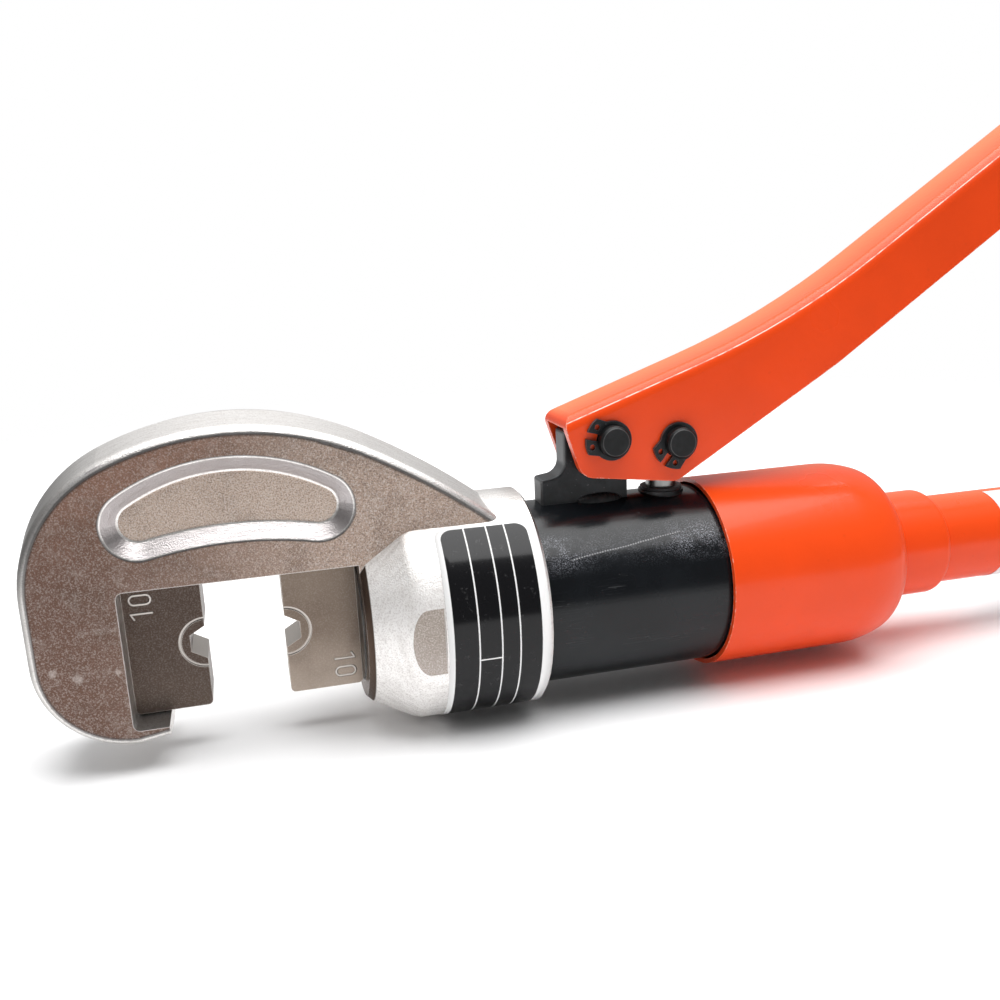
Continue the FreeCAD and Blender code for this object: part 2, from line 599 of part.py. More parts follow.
def die(name, place, facing):
    """Crimping die round its front face: half a hexagonal nest, a marked half ring and a tenon."""
    body = new_body(name, place)
    sign, side = ("", "right") if facing > 0 else ("-", "left")

    def back(depth):
        return f"{sign}({depth})"

    nest_depth = back("nest_radius*sin(60)")
    high, round_start = "die_height/2", "die_height/2 - die_corner"
    extrude(body, "Pad", "block", [[
        ("0", round_start, "die_corner", side), (back("die_corner"), high),
        (back("die_depth - die_corner"), high, "die_corner", side), (back("die_depth"), round_start),
        (back("die_depth"), f"-({round_start})", "die_corner", side),
        (back("die_depth - die_corner"), f"-{high}"),
        (back("die_corner"), f"-{high}", "die_corner", side), ("0", f"-({round_start})"),
        ("0", "-nest_radius"), (nest_depth, "-nest_radius/2"),
        (nest_depth, "nest_radius/2"), ("0", "nest_radius")]], "die_width")
    for face, low in (("near", "-die_width/2 - 1"), ("far", "die_width/2 - ring_depth")):
        turn(body, f"{face}_ring", "Y", [
            ("ring_radius - ring_width", low), ("ring_radius", low),
            ("ring_radius", f"{low} + ring_depth + 1"),
            ("ring_radius - ring_width", f"{low} + ring_depth + 1")], cut=True)
    tenon_x = "die_depth - 1" if facing > 0 else "-die_depth - tenon_length"
    mill(body, "tenon", ("tenon_length + 1", "tenon_width", "tenon_height"),
         (tenon_x, "-tenon_width/2", "-tenon_height/2"), kind="Additive")


def catch(name, x, axis):
    """Spring ball, its spring and its screw, which press on the side of a die's tenon."""
    flank = "tenon_width/2" if axis == "Y" else "tenon_height/2"
    top = "head_thickness/2 - screw_sink" if axis == "Y" else "ram_radius - screw_sink"
    spring_low = f"({flank} + running_fit + 2*catch_ball)"
    spring_foot = f"{spring_low} - catch_ball*(1 - cos(30))"
    centre = f"{flank} + running_fit + catch_ball"
    place = (x, centre, "0") if axis == "Y" else (x, "0", centre)
    ball(f"{name}_ball", "catch_ball", place)
    turned(f"{name}_spring", axis, [
        ("catch_ball*0.5", spring_foot), ("catch_ball*0.9", spring_foot),
        ("catch_ball*0.9", f"{spring_low} + catch_spring"),
        ("catch_ball*0.5", f"{spring_low} + catch_spring")], (x, "0", "0"))
    turned(f"{name}_screw", axis, [
        ("0", f"{spring_low} + catch_spring"), ("catch_ball + running_fit", f"{spring_low} + catch_spring"),
        ("catch_ball + running_fit", top), ("0", top)], (x, "0", "0"))


def ram():
    """Ram rod and piston in one, hollow for the return spring, with the moving die's pocket."""
    body = new_body("ram")
    wear_front = f"({PISTON_FRONT} + wear_groove)"
    seal_front = f"({PISTON_FRONT} + seal_offset)"
    turn(body, "turned", "X", [
        (RAM_FACE, "0"), (RAM_FACE, "ram_radius - pin_edge"), (f"{RAM_FACE} + pin_edge", "ram_radius"),
        (PISTON_FRONT, "ram_radius"), (PISTON_FRONT, "piston_radius"),
        (wear_front, "piston_radius"), (wear_front, "piston_radius - wear_depth"),
        (f"{wear_front} + wear_groove", "piston_radius - wear_depth"),
        (f"{wear_front} + wear_groove", "piston_radius"),
        (seal_front, "piston_radius"), (seal_front, "piston_radius - seal_depth"),
        (f"{seal_front} + seal_groove", "piston_radius - seal_depth"),
        (f"{seal_front} + seal_groove", "piston_radius"),
        ("piston_rear", "piston_radius"), ("piston_rear", "cap_radius"), (CAP_FRONT, "cap_radius"),
        (CAP_FRONT, "spring_room"), (f"{RAM_FACE} + ram_wall", "spring_room"),
        (f"{RAM_FACE} + ram_wall", "0")])
    mill(body, "die_pocket",
         ("tenon_length + pocket_fit + 1", "tenon_width + 2*pocket_fit", "tenon_height + 2*pocket_fit"),
         (f"{RAM_FACE} - 1", "-tenon_width/2 - pocket_fit", "-tenon_height/2 - pocket_fit"))
    drill(body, "catch_bore", "catch_ball + running_fit",
          (f"{RAM_FACE} + {CATCH_AT}", "0", "tenon_height/2"), "+Z", "ram_radius")


def ram_parts():
    """Piston seal, wear ring and the ring that holds the return spring in the ram."""
    turned("piston_seal", "X", ring(f"{PISTON_FRONT} + seal_offset", "seal_groove",
                                    "piston_radius - seal_depth", "piston_radius"))
    turned("wear_ring", "X", ring(f"{PISTON_FRONT} + wear_groove", "wear_groove",
                                  "piston_radius - wear_depth", "piston_radius"))
    turned("ram_cap", "X", ring(CAP_FRONT, "cap_length", "bolt_radius + bolt_play", "cap_radius"))


def rod_seal():
    """Seal between the head and the ram rod."""
    turned("rod_seal", "X", ring("rod_seal_front", "seal_groove", ROD_BORE, f"{ROD_BORE} + seal_depth"))


def spring_bolt():
    """Long bolt in the floor of the cylinder whose head holds the front of the return spring."""
    turned("spring_bolt", "X", [
        ("barrel_front - bolt_head_length", "0"), ("barrel_front - bolt_head_length", "bolt_head_radius"),
        ("barrel_front", "bolt_head_radius"), ("barrel_front", "bolt_radius"),
        ("cylinder_floor + thread_depth", "bolt_radius"), ("cylinder_floor + thread_depth", "0")])


SPRING_COILS = 7


def return_spring():
    """Return spring round the bolt, drawn as a stack of round coils that touch."""
    pitch = f"(({CAP_FRONT} - barrel_front)/{SPRING_COILS})"
    crown = f"({pitch}^2/(4*spring_wire) + spring_wire/4)"
    valley = "spring_outer - spring_wire/2"
    coils = [(f"{CAP_FRONT} - {i}*{pitch}", valley, crown, "left") for i in range(SPRING_COILS)]
    turned("return_spring", "X", coils + [
        ("barrel_front", valley), ("barrel_front", "spring_outer - spring_wire"),
        (CAP_FRONT, "spring_outer - spring_wire")])


def barrel():
    """Barrel: cylinder bore in front, pump and valve bores behind, spigot and nose at the rear."""
    body = new_body("barrel")
    turn(body, "turned", "X", [
        ("barrel_front", CYLINDER), ("barrel_front", "barrel_radius"),
        ("barrel_shoulder", "barrel_radius"), ("barrel_shoulder", "spigot_radius"),
        (SPIGOT_REAR, "spigot_radius"), (SPIGOT_REAR, "nose_radius"), (NOSE_REAR, "nose_radius"),
        (NOSE_REAR, "0"), ("cylinder_floor", "0"), ("cylinder_floor", CYLINDER)])
    seal_floor = "gland_top - gland_length - seal_length"
    drill(body, "bolt_thread", "bolt_radius", ("cylinder_floor - 1", "0", "0"), "+X", "thread_depth + 1")
    drill(body, "gland_bore", "gland_radius", ("pump_x", "0", seal_floor), "+Z", "barrel_radius")
    drill(body, "pump_chamber", "plunger_radius + running_fit", ("pump_x", "0", "chamber_low"), "+Z",
          f"{seal_floor} - chamber_low + 1")
    drill(body, "delivery_bore", "valve_bore", ("cylinder_floor - 1", "0", "valve_line"), "+X",
          "delivery_seat - cylinder_floor + 1")
    drill(body, "delivery_passage", "passage", ("cylinder_floor", "0", "valve_line"), "+X",
          "pump_x - cylinder_floor")
    suction_floor = f"(suction_seat - 2*{BALL_SIT} - suction_spring_length)"
    drill(body, "suction_bore", "valve_bore", (f"{NOSE_REAR} + 1", "0", "valve_line"), "-X",
          f"{NOSE_REAR} + 1 - {suction_floor}")
    drill(body, "suction_passage", "passage", ("pump_x", "0", "valve_line"), "+X",
          f"{suction_floor} - pump_x")
    drill(body, "relief_passage", "passage", ("cylinder_floor - 1", "relief_side", "0"), "+X",
          "relief_seat - cylinder_floor + 1")
    drill(body, "relief_bore", "relief_bore", (f"{NOSE_REAR} + 1", "relief_side", "0"), "-X",
          f"{NOSE_REAR} + 1 - relief_seat")
    drill(body, "pressure_passage", "passage", ("cylinder_floor - 1", "-relief_side", "0"), "+X",
          "release_cross + passage - cylinder_floor + 1")
    drill(body, "release_passage", "passage", ("release_cross", "-barrel_radius", "0"), "+Y",
          "barrel_radius")
    drill(body, "release_plug_bore", "plug_radius", ("release_cross", "-barrel_radius - 1", "0"), "+Y",
          "cross_plug + 1")
    drill(body, "seat_passage", "passage", ("release_cross", "0", "0"), "+X", "needle_seat - release_cross")
    drill(body, "needle_bore", "needle_bore", ("needle_seat", "0", "0"), "+X", "stem_front - needle_seat")
    drill(body, "stem_bore", "stem_radius", ("stem_front", "0", "0"), "+X", "barrel_radius")
    drill(body, "tank_passage", "passage", ("tank_cross", "spigot_radius", "0"), "-Y", "spigot_radius")
    drill(body, "tank_plug_bore", "plug_radius", ("tank_cross", "spigot_radius + 1", "0"), "-Y",
          "cross_plug + 1")


def valve(name, seat, outward, side, line, spring_length):
    """A check valve on its seat: ball and spring. Outward is the side of the seat the ball lies on."""
    sign = "+" if outward > 0 else "-"
    ball(f"{name}_ball", "ball_radius", (f"{seat} {sign} {BALL_SIT}", side, line))
    near_end = f"({seat} {sign} 2*{BALL_SIT})"
    start = near_end if outward > 0 else f"({near_end} - {spring_length})"
    turned(f"{name}_spring", "X", ring(start, spring_length, "passage", "ball_radius"), ("0", side, line))
    return near_end


def valves():
    """Delivery, suction and relief valves in their bores."""
    spring = f"(delivery_seat - 2*{BALL_SIT} - cylinder_floor - delivery_retainer_length)"
    valve("delivery", "delivery_seat", -1, "0", "valve_line", spring)
    turned("delivery_retainer", "X",
           ring("cylinder_floor", "delivery_retainer_length", "passage", "valve_bore"),
           ("0", "0", "valve_line"))
    valve("suction", "suction_seat", -1, "0", "valve_line", "suction_spring_length")
    turned("suction_seat_screw", "X", ring("suction_seat", "suction_seat_length", "passage", "valve_bore"),
           ("0", "0", "valve_line"))
    end = valve("relief", "relief_seat", 1, "relief_side", "0", "relief_spring_length")
    turned("relief_screw", "X", ring(f"({end} + relief_spring_length)", "relief_screw_length", "passage",
                                     "relief_bore"), ("0", "relief_side", "0"))


def gallery_plugs():
    """Plugs that close the two cross passages."""
    plugs = []
    for name, x, radius, sign in (("release", "release_cross", "barrel_radius", -1),
                                  ("tank", "tank_cross", "spigot_radius", 1)):
        plug = DOC.addObject("Part::Cylinder", f"{name}_plug")
        plug.Placement = FreeCAD.Placement(V(0, 0, 0), FreeCAD.Rotation(*DIRECTIONS["-Y"]))
        bind(plug, "Placement.Base.x", x)
        bind(plug, "Placement.Base.y", f"{radius} - plug_sink" if sign > 0 else f"-{radius} + cross_plug")
        bind(plug, "Radius", "plug_radius")
        bind(plug, "Height", "cross_plug - plug_sink")
        plugs.append(plug)
    group = DOC.addObject("Part::Compound", "gallery_plugs")
    group.Label = "gallery_plugs"
    group.Links = plugs
    PARTS.append(group)


def plunger():
    """Pump plunger with a slotted head that the plunger pin drives."""
    body = new_body("plunger", ("pump_x", "0", "0"))
    turn(body, "rod", "Z", [("0", "plunger_low"), ("plunger_radius", "plunger_low"),
                            ("plunger_radius", "head_block_low + 1"), ("0", "head_block_low + 1")])
    mill(body, "head", ("head_block_length", "head_block_width", "head_block_height"),
         ("-head_block_length/2", "-head_block_width/2", "head_block_low"), kind="Additive")
    slot_x = {"back": "pin_x - slot_back - pump_x", "ahead": "pin_x + slot_ahead - pump_x"}
    for end, x in slot_x.items():
        drill(body, f"slot_{end}", "pin_radius + slot_play", (x, "head_block_width", "pin_z"), "-Y",
              "2*head_block_width")
    mill(body, "slot_middle",
         ("slot_back + slot_ahead", "2*head_block_width", "2*(pin_radius + slot_play)"),
         (slot_x["back"], "-head_block_width", "pin_z - pin_radius - slot_play"))


def gland():
    """Gland bush of the plunger with the seal under it and the wiper on it."""
    bore = "plunger_radius + running_fit"
    bush_low = "gland_top - gland_length"
    for name, low, high, outer in (
            ("plunger_gland", bush_low, "gland_top", "gland_radius"),
            ("plunger_seal", f"{bush_low} - seal_length", bush_low, "gland_radius"),
            ("plunger_wiper", "gland_top", "gland_top + wiper_height", "gland_radius - pin_edge")):
        turned(name, "Z", [(bore, low), (outer, low), (outer, high), (bore, high)], ("pump_x", "0", "0"))


def lever_bracket():
    """Bracket welded on the barrel; its top is cut to stop the lever when it opens."""
    body = new_body("lever_bracket")
    stop = "(web_gap - sheet - stop_gap)"
    lean = "(web_slope + open_angle)"
    reach = "(pivot_x - upright_front)"
    foot_rise = "(foot_top + tan(foot_slope)*(upright_front - foot_front))"
    extrude(body, "Pad", "plate", [[
        ("foot_front", "barrel_radius*0.7"), ("foot_front", "foot_top"), ("upright_front", foot_rise),
        ("upright_front", f"pivot_z + ({stop} - sin{lean}*{reach})/cos{lean}"),
        (f"pivot_x - {stop}*sin{lean}", f"pivot_z + {stop}*cos{lean}", stop, "right"),
        ("bracket_rear", f"pivot_z + sqrt({stop}^2 - (bracket_rear - pivot_x)^2)"),
        ("bracket_rear", "barrel_radius*0.7")]], "bracket_width")
    corner_x, corner_z = value("upright_front"), value(foot_rise)
    round_edges(body, "hollow_corner", "foot_fillet", lambda edge: all(
        near(v.Point.x, corner_x) and near(v.Point.z, corner_z) for v in edge.Vertexes))
    half = value("bracket_width") / 2
    round_edges(body, "front_edges", "bracket_edge", lambda edge: all(
        near(abs(v.Point.y), half) and v.Point.x < corner_x + 0.01 for v in edge.Vertexes))
    drill(body, "saddle", "barrel_radius", ("foot_front - 1", "0", "0"), "+X",
          "bracket_rear - foot_front + 2")
    drill(body, "pivot_hole", "pin_radius + running_fit", ("pivot_x", "bracket_width", "pivot_z"), "-Y",
          "2*bracket_width")


def bracket_welds():
    """Weld beads along both sides of the bracket's foot."""
    beads = []
    for side, sign in (("near", -1), ("far", 1)):
        bead = DOC.addObject("PartDesign::Body", f"{side}_bead")
        lens = bead.newObject("PartDesign::AdditiveEllipsoid", "lens")
        bind(lens, "Radius1", "weld_size")
        bind(lens, "Radius2", "weld_half")
        bind(lens, "Radius3", "weld_size")
        bind(lens, "Placement.Base.x", "weld_x")
        bind(lens, "Placement.Base.y", f"{sign}*bracket_width/2")
        bind(lens, "Placement.Base.z", "sqrt(barrel_radius^2 - (bracket_width/2)^2)")
        drill(bead, "barrel_side", "barrel_radius", ("weld_x - 2*weld_half", "0", "0"), "+X", "4*weld_half")
        mill(bead, "bracket_side", ("4*weld_half", "bracket_width", "4*weld_half"),
             ("weld_x - 2*weld_half", "-bracket_width/2", "barrel_radius - 2*weld_half"))
        beads.append(bead)
    group = DOC.addObject("Part::Compound", "bracket_welds")
    group.Label = "bracket_welds"
    group.Links = beads
    PARTS.append(group)


def web_height(x):
    """Height of the web's outside over the pivot stretch at a place x."""
    return f"(pivot_z + web_gap/cos(web_slope) + tan(web_slope)*({x} - pivot_x))"


def along_lever(distance, depth):
    """A point behind the bend: distance from the bend's corner, depth below the web's outside."""
    return (f"bend_x + ({distance})*cos(grip_slope) + ({depth})*sin(grip_slope)",
            f"{web_height('bend_x')} + ({distance})*sin(grip_slope) - ({depth})*cos(grip_slope)")


def cheek_depth_at(distance):
    """Depth of the tapering channel behind the bend."""
    share = f"(({distance} - cheek_break)/(lever_length - cheek_break))"
    return f"cheek_depth - (cheek_depth - end_depth)*{share}"


TANGENT = "(bend_radius*tan((grip_slope - web_slope)*0.5))"


def web_line(depth, start_x, length):
    """The web's line at a depth under its outside: straight, curved at the bend, straight."""
    bend_start = (f"bend_x - {TANGENT}*cos(web_slope) + {depth}*sin(web_slope)",
                  f"{web_height('bend_x')} - {TANGENT}*sin(web_slope) - {depth}*cos(web_slope)")
    bend_end = along_lever(TANGENT, depth)
    return [(start_x, f"{web_height(start_x)} - {depth}/cos(web_slope)"),
            (*bend_start, f"bend_radius + {depth}", "left"), bend_end, along_lever(length, depth)]


def cheek_low_at(x):
    """Height of the cheeks' lower edge under the pivot stretch at a place x."""
    return f"cheek_low - tan(cheek_low_slope)*({x} - pivot_x)"


def at_any(edge, points):
    """Whether every end of an edge lies on one of the points as seen from the side."""
    return all(any(V(v.Point.x, 0, v.Point.z).distanceToPoint(point) < 1e-3 for point in points)
               for v in edge.Vertexes)


def lever():
    """Pump lever: a channel bent from sheet, its web on top and its cheeks down to the pins."""
    body = new_body("lever")
    web = web_line("0", "lever_nose", "lever_length")
    ends = [along_lever("lever_length", "end_depth"), along_lever("cheek_break", "cheek_depth")]
    corners = [(x, cheek_low_at(x)) for x in ("cheek_rear_x", "cheek_front_x")]
    extrude(body, "Pad", "blank", [web + ends + corners], "2*lever_half")
    web_points, corner_points = ([V(value(p[0]), 0, value(p[1])) for p in line] for line in (web, corners))
    round_edges(body, "cheek_corners", "cheek_round", lambda edge: any(
        at_any(edge, [point]) for point in corner_points))
    half = value("lever_half")
    round_edges(body, "web_edges", "web_edge", lambda edge: (
        all(near(abs(v.Point.y), half) for v in edge.Vertexes) and at_any(edge, web_points)))
    inside = web_line("sheet", "lever_nose - 2*web_gap", "lever_length + 2*web_gap")
    end_x = inside[-1][0]
    extrude(body, "Pocket", "channel", [inside + [(end_x, "0"), ("lever_nose - 2*web_gap", "0")]],
            "2*(lever_half - sheet)")
    for name, x, z in (("pivot", "pivot_x", "pivot_z"), ("plunger_pin", "pin_x", "pin_z")):
        drill(body, f"{name}_hole", "pin_radius", (x, "2*lever_half", z), "-Y", "4*lever_half")


def lever_grip():
    """Rubber grip over the end of the lever."""
    body = new_body("lever_grip")
    front = "(lever_length - lever_grip_length)"
    rear = "(lever_length + lever_grip_wall)"
    extrude(body, "Pad", "rubber", [[
        along_lever(front, "-lever_grip_wall"), along_lever(rear, "-lever_grip_wall"),
        along_lever(rear, "end_depth + lever_grip_wall"),
        along_lever(front, f"{cheek_depth_at(front)} + lever_grip_wall")]],
        "2*(lever_half + lever_grip_wall)")
    half = value("lever_half + lever_grip_wall")
    round_edges(body, "soft_edges", "lever_grip_edge", lambda edge: (
        all(near(abs(v.Point.y), half) for v in edge.Vertexes) and edge.Length > half * 3))
    extrude(body, "Pocket", "socket", [[
        along_lever(f"{front} - 1", "0"), along_lever("lever_length", "0"),
        along_lever("lever_length", "end_depth"),
        along_lever(f"{front} - 1", cheek_depth_at(f"{front} - 1"))]], "2*lever_half")


def pin(name, x, z):
    """Lever pin with a circlip groove near each end."""
    groove_in = "(lever_half + running_fit)"
    groove_out = f"({groove_in} + clip_thickness)"
    side = [("pin_radius", groove_in), ("clip_groove", groove_in), ("clip_groove", groove_out),
            ("pin_radius", groove_out), ("pin_radius", "pin_half - pin_edge"),
            ("pin_radius - pin_edge", "pin_half"), ("0", "pin_half")]
    mirrored = [(r, f"-({y})") for r, y in reversed(side)]
    turned(name, "Y", mirrored + side, (x, "0", z))


def polar(radius, angle):
    """A point at a radius and an angle."""
    return f"{radius}*cos({angle})", f"{radius}*sin({angle})"


def lower(point):
    """A point's mirror image below the first axis."""
    return point[0], f"-({point[1]})"


def circlip(name, place, opening):
    """External circlip with two drilled ears beside its gap."""
    body = DOC.addObject("PartDesign::Body", name)
    root = polar("clip_radius", "clip_root_angle")
    corner = polar("clip_ear", "clip_ear_angle")
    tip = ("sqrt(clip_ear^2 - clip_split^2)", "clip_split")
    mouth = ("sqrt(clip_groove^2 - clip_split^2)", "clip_split")
    outline = [root, (*corner, "clip_ear", "right"), tip, (*mouth, "clip_groove", "left"),
               ("-clip_groove", "0", "clip_groove", "left"), lower(mouth),
               (*lower(tip), "clip_ear", "right"), lower(corner),
               (*lower(root), "clip_radius", "right"), ("-clip_radius", "0", "clip_radius", "right")]
    hole = polar("clip_hole_at", "clip_hole_angle")
    extrude(body, "Pad", "stamping", [outline], "clip_thickness",
            circles=[(hole, "clip_hole"), (lower(hole), "clip_hole")])
    body.Placement = FreeCAD.Placement(V(0, 0, 0), FreeCAD.Rotation(V(0, -1, 0), value(opening)))
    for axis, expression in zip("xyz", place):
        bind(body, f"Placement.Base.{axis}", expression)
    return body


def circlips():
    """Four circlips, one at each end of both pins."""
    rings = []
    for pin_name, x, z, opening in (("pivot", "pivot_x", "pivot_z", "pivot_clip_turn"),
                                    ("plunger", "pin_x", "pin_z", "plunger_clip_turn")):
        for side, sign in (("near", "-"), ("far", "")):
            y = f"{sign}(lever_half + running_fit + clip_thickness/2)"
            rings.append(circlip(f"{pin_name}_{side}_clip", (x, y, z), opening))
    group = DOC.addObject("Part::Compound", "circlips")
    group.Label = "circlips"
    group.Links = rings
    PARTS.append(group)


def reservoir_cup():
    """Pressed reservoir cup with a domed end and a boss for the handle tube."""
    body = new_body("reservoir_cup")
    long, turn_angle = "dome_long_radius", "dome_turn"
    short = f"((dome_length - {long}*sin({turn_angle}))/(1 - sin({turn_angle})))"
    dome_end = f"(cup_radius - {long}*(1 - cos({turn_angle})) - {short}*cos({turn_angle}))"

    def join(radius):
        return (f"cup_shoulder + {radius}*sin({turn_angle})",
                f"cup_radius - {long} + {radius}*cos({turn_angle})")

    turn(body, "shell", "X", [
        ("cup_rim", "cup_radius"), ("cup_shoulder", "cup_radius", long, "right"),
        (*join(long), short, "right"), (DOME_REAR, dome_end), (DOME_REAR, "boss_radius + cup_wall/3"),
        (f"{DOME_REAR} + 2*cup_wall", "boss_radius"),
        ("boss_rear - boss_round", "boss_radius", "boss_round", "right"),
        ("boss_rear", "boss_radius - boss_round"), ("boss_rear", "tube_radius"),
        (TUBE_SEAT, "tube_radius"), (TUBE_SEAT, "tube_radius - tube_wall"),
        (f"{DOME_REAR} - cup_wall", "tube_radius - tube_wall"),
        (f"{DOME_REAR} - cup_wall", dome_end, f"{short} - cup_wall", "left"),
        (*join(f"({long} - cup_wall)"), f"{long} - cup_wall", "left"), ("cup_shoulder", "cup_inner"),
        ("cup_rim", "cup_inner")])


def fixed_handle():
    """Nut ring, handle tube, driving plug and release needle, which all turn with the cup."""
    turned("cup_nut", "X", ring("nut_front", "nut_length", "spigot_radius + running_fit", "cup_inner"))
    turned("handle_tube", "X", ring(TUBE_SEAT, f"(tool_rear - grip_end_wall - {TUBE_SEAT})",
                                    "tube_radius - tube_wall", "tube_radius"))
    plug = turned("tube_plug", "X", disc("plug_front", "plug_length", "tube_radius - tube_wall"))
    play = "(square_size + 2*running_fit)"
    mill(plug, "square_hole", ("plug_length + 2", play, play),
         ("plug_front - 1", f"-{play}/2", f"-{play}/2"))
    tip = "(needle_seat - passage + running_fit)"
    thread = "needle_bore - running_fit"
    thread_rear = "needle_thread_front + needle_thread_length"
    needle = turned("release_needle", "X", [
        (tip, "0"), (f"{tip} + needle_radius", "needle_radius"), ("needle_thread_front", "needle_radius"),
        ("needle_thread_front", thread), (thread_rear, thread), (thread_rear, "needle_radius"),
        ("plug_front", "needle_radius"), ("plug_front", "0")])
    mill(needle, "square_end", ("plug_length", "square_size", "square_size"),
         ("plug_front - 1", "-square_size/2", "-square_size/2"), kind="Additive")


def bladder():
    """Rubber oil bladder between the nose and the stem tube, with its tube and clamp bands."""
    turned("stem_tube", "X", ring("stem_front", "(stem_rear - stem_front)", "stem_bore", "stem_radius"))
    turned("needle_seal", "X", ring("stem_front - needle_seal_length", "needle_seal_length",
                                    "needle_radius + running_fit", "needle_bore"))
    front = f"({SPIGOT_REAR} + bladder_wall)"
    bulge_x = f"({NOSE_REAR} + 4*bladder_wall)"
    curve = "(bladder_bulge - stem_radius - bladder_wall)"
    round_x = f"(bladder_tail - {curve})"
    turned("bladder", "X", [
        (front, "nose_radius"), (front, "nose_radius + bladder_wall"),
        (NOSE_REAR, "nose_radius + bladder_wall"), (bulge_x, "bladder_bulge"),
        (round_x, "bladder_bulge", curve, "right"),
        ("bladder_tail", "stem_radius + bladder_wall"), ("bladder_rear", "stem_radius + bladder_wall"),
        ("bladder_rear", "stem_radius"), ("bladder_tail - bladder_wall", "stem_radius"),
        ("bladder_tail - bladder_wall", "stem_radius + bladder_wall", f"{curve} - bladder_wall", "left"),
        (round_x, "bladder_bulge - bladder_wall"), (bulge_x, "bladder_bulge - bladder_wall"),
        (NOSE_REAR, "nose_radius")])
    turned("front_clamp", "X", ring(f"({front} + bladder_wall/2)", "clamp_length",
                                    "nose_radius + bladder_wall", "nose_radius + bladder_wall + clamp_wall"))
    turned("rear_clamp", "X", ring("(bladder_tail + bladder_wall/2)", "clamp_length",
                                   "stem_radius + bladder_wall", "stem_radius + bladder_wall + clamp_wall"))


GRIP_RIBS = 8


def fixed_grip():
    """Ribbed rubber grip over the end of the handle tube."""
    first = "(grip_front + grip_rib_step)"
    grooves = []
    for i in range(GRIP_RIBS):
        start = f"({first} + {i}*grip_rib_step)"
        grooves += [(start, "grip_radius"), (f"{start} + grip_rib", "grip_radius - grip_rib"),
                    (f"{start} + 3*grip_rib", "grip_radius - grip_rib"),
                    (f"{start} + 4*grip_rib", "grip_radius")]
    turned("fixed_grip", "X", [
        ("grip_front", "tube_radius"), ("grip_front", "grip_radius - grip_rib"),
        ("grip_front + grip_rib", "grip_radius")] + grooves + [
        ("tool_rear - grip_end_wall", "grip_radius", "grip_end_wall", "right"),
        ("tool_rear", "grip_radius - grip_end_wall"), ("tool_rear", "0"),
        ("tool_rear - grip_end_wall", "0"), ("tool_rear - grip_end_wall", "tube_radius")])


def label(name, along, length, radius, start, sweep):
    """A thin label wrapped round part of a cylinder; angles run from the top over the near side."""
    body = new_body(name)
    turn(body, "wrap", "X", ring(along, length, f"{radius} + glue", f"{radius} + glue + film"), angle=sweep)
    body.Placement = FreeCAD.Placement(V(0, 0, 0), FreeCAD.Rotation(V(1, 0, 0), value(start)))


def labels():
    """Bare labels on the collar and on the handle tube."""
    label("name_band", "(collar_rear - collar_edge - band_length)", "band_length", "collar_radius",
          "band_start", "band_sweep")
    label("tube_label", "label_front", "label_length", "tube_radius", "tube_label_start",
          "tube_label_sweep")


def build():
    """Make every sub-part."""
    c_head()
    die("fixed_die", ("0", "0", "0"), -1)
    die("moving_die", ("die_gap", "0", "0"), 1)
    catch("head_catch", f"({DIE_BACK} - {CATCH_AT})", "Y")
    catch("ram_catch", f"({RAM_FACE} + {CATCH_AT})", "Z")
    ram()
    ram_parts()
    rod_seal()
    spring_bolt()
    return_spring()
    barrel()
    valves()
    gallery_plugs()
    plunger()
    gland()
    lever_bracket()
    bracket_welds()
    lever()
    lever_grip()
    pin("pivot_pin", "pivot_x", "pivot_z")
    pin("plunger_pin", "pin_x", "pin_z")
    circlips()
    reservoir_cup()
    fixed_handle()
    bladder()
    fixed_grip()
    labels()


def check():
    """Stop if any object failed or any sub-part has no sound shape."""
    faults = [o.Name for o in DOC.Objects if {"Invalid", "Error"} & set(o.State)]
    faults += [p.Label for p in PARTS if p.Shape.isNull() or not p.Shape.isValid() or not p.Shape.Solids]
    if faults:
        raise RuntimeError("failed: " + ", ".join(faults))


def write():
    """Write each sub-part to its own file."""
    os.makedirs("parts", exist_ok=True)
    for part in PARTS:
        part.Shape.exportStep(f"parts/{part.Label}.step")


build()
DOC.recompute()
check()
write()
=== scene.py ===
import bpy
import json
from math import cos, radians, sin
import bmesh
from mathutils import Matrix, Vector


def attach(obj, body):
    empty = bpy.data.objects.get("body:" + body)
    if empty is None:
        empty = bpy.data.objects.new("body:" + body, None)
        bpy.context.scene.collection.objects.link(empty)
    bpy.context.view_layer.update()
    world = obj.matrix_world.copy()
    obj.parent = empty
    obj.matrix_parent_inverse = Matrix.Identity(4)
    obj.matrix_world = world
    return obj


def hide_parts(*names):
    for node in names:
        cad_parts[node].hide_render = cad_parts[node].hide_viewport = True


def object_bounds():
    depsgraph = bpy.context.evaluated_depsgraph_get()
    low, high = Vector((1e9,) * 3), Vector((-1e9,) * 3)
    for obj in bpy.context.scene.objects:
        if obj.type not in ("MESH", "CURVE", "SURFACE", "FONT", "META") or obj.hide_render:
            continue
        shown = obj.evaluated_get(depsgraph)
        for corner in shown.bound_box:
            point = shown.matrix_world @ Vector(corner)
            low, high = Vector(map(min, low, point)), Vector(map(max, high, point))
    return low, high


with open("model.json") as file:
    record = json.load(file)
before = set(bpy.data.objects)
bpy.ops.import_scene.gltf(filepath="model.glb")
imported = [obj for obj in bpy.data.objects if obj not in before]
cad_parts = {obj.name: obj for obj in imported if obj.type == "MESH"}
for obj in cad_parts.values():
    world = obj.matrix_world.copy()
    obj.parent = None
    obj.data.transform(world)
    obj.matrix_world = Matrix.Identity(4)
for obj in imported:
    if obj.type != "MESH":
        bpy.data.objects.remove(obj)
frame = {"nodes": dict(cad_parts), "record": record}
CAD_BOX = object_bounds()
NODES = frame["nodes"]
MM = 0.001


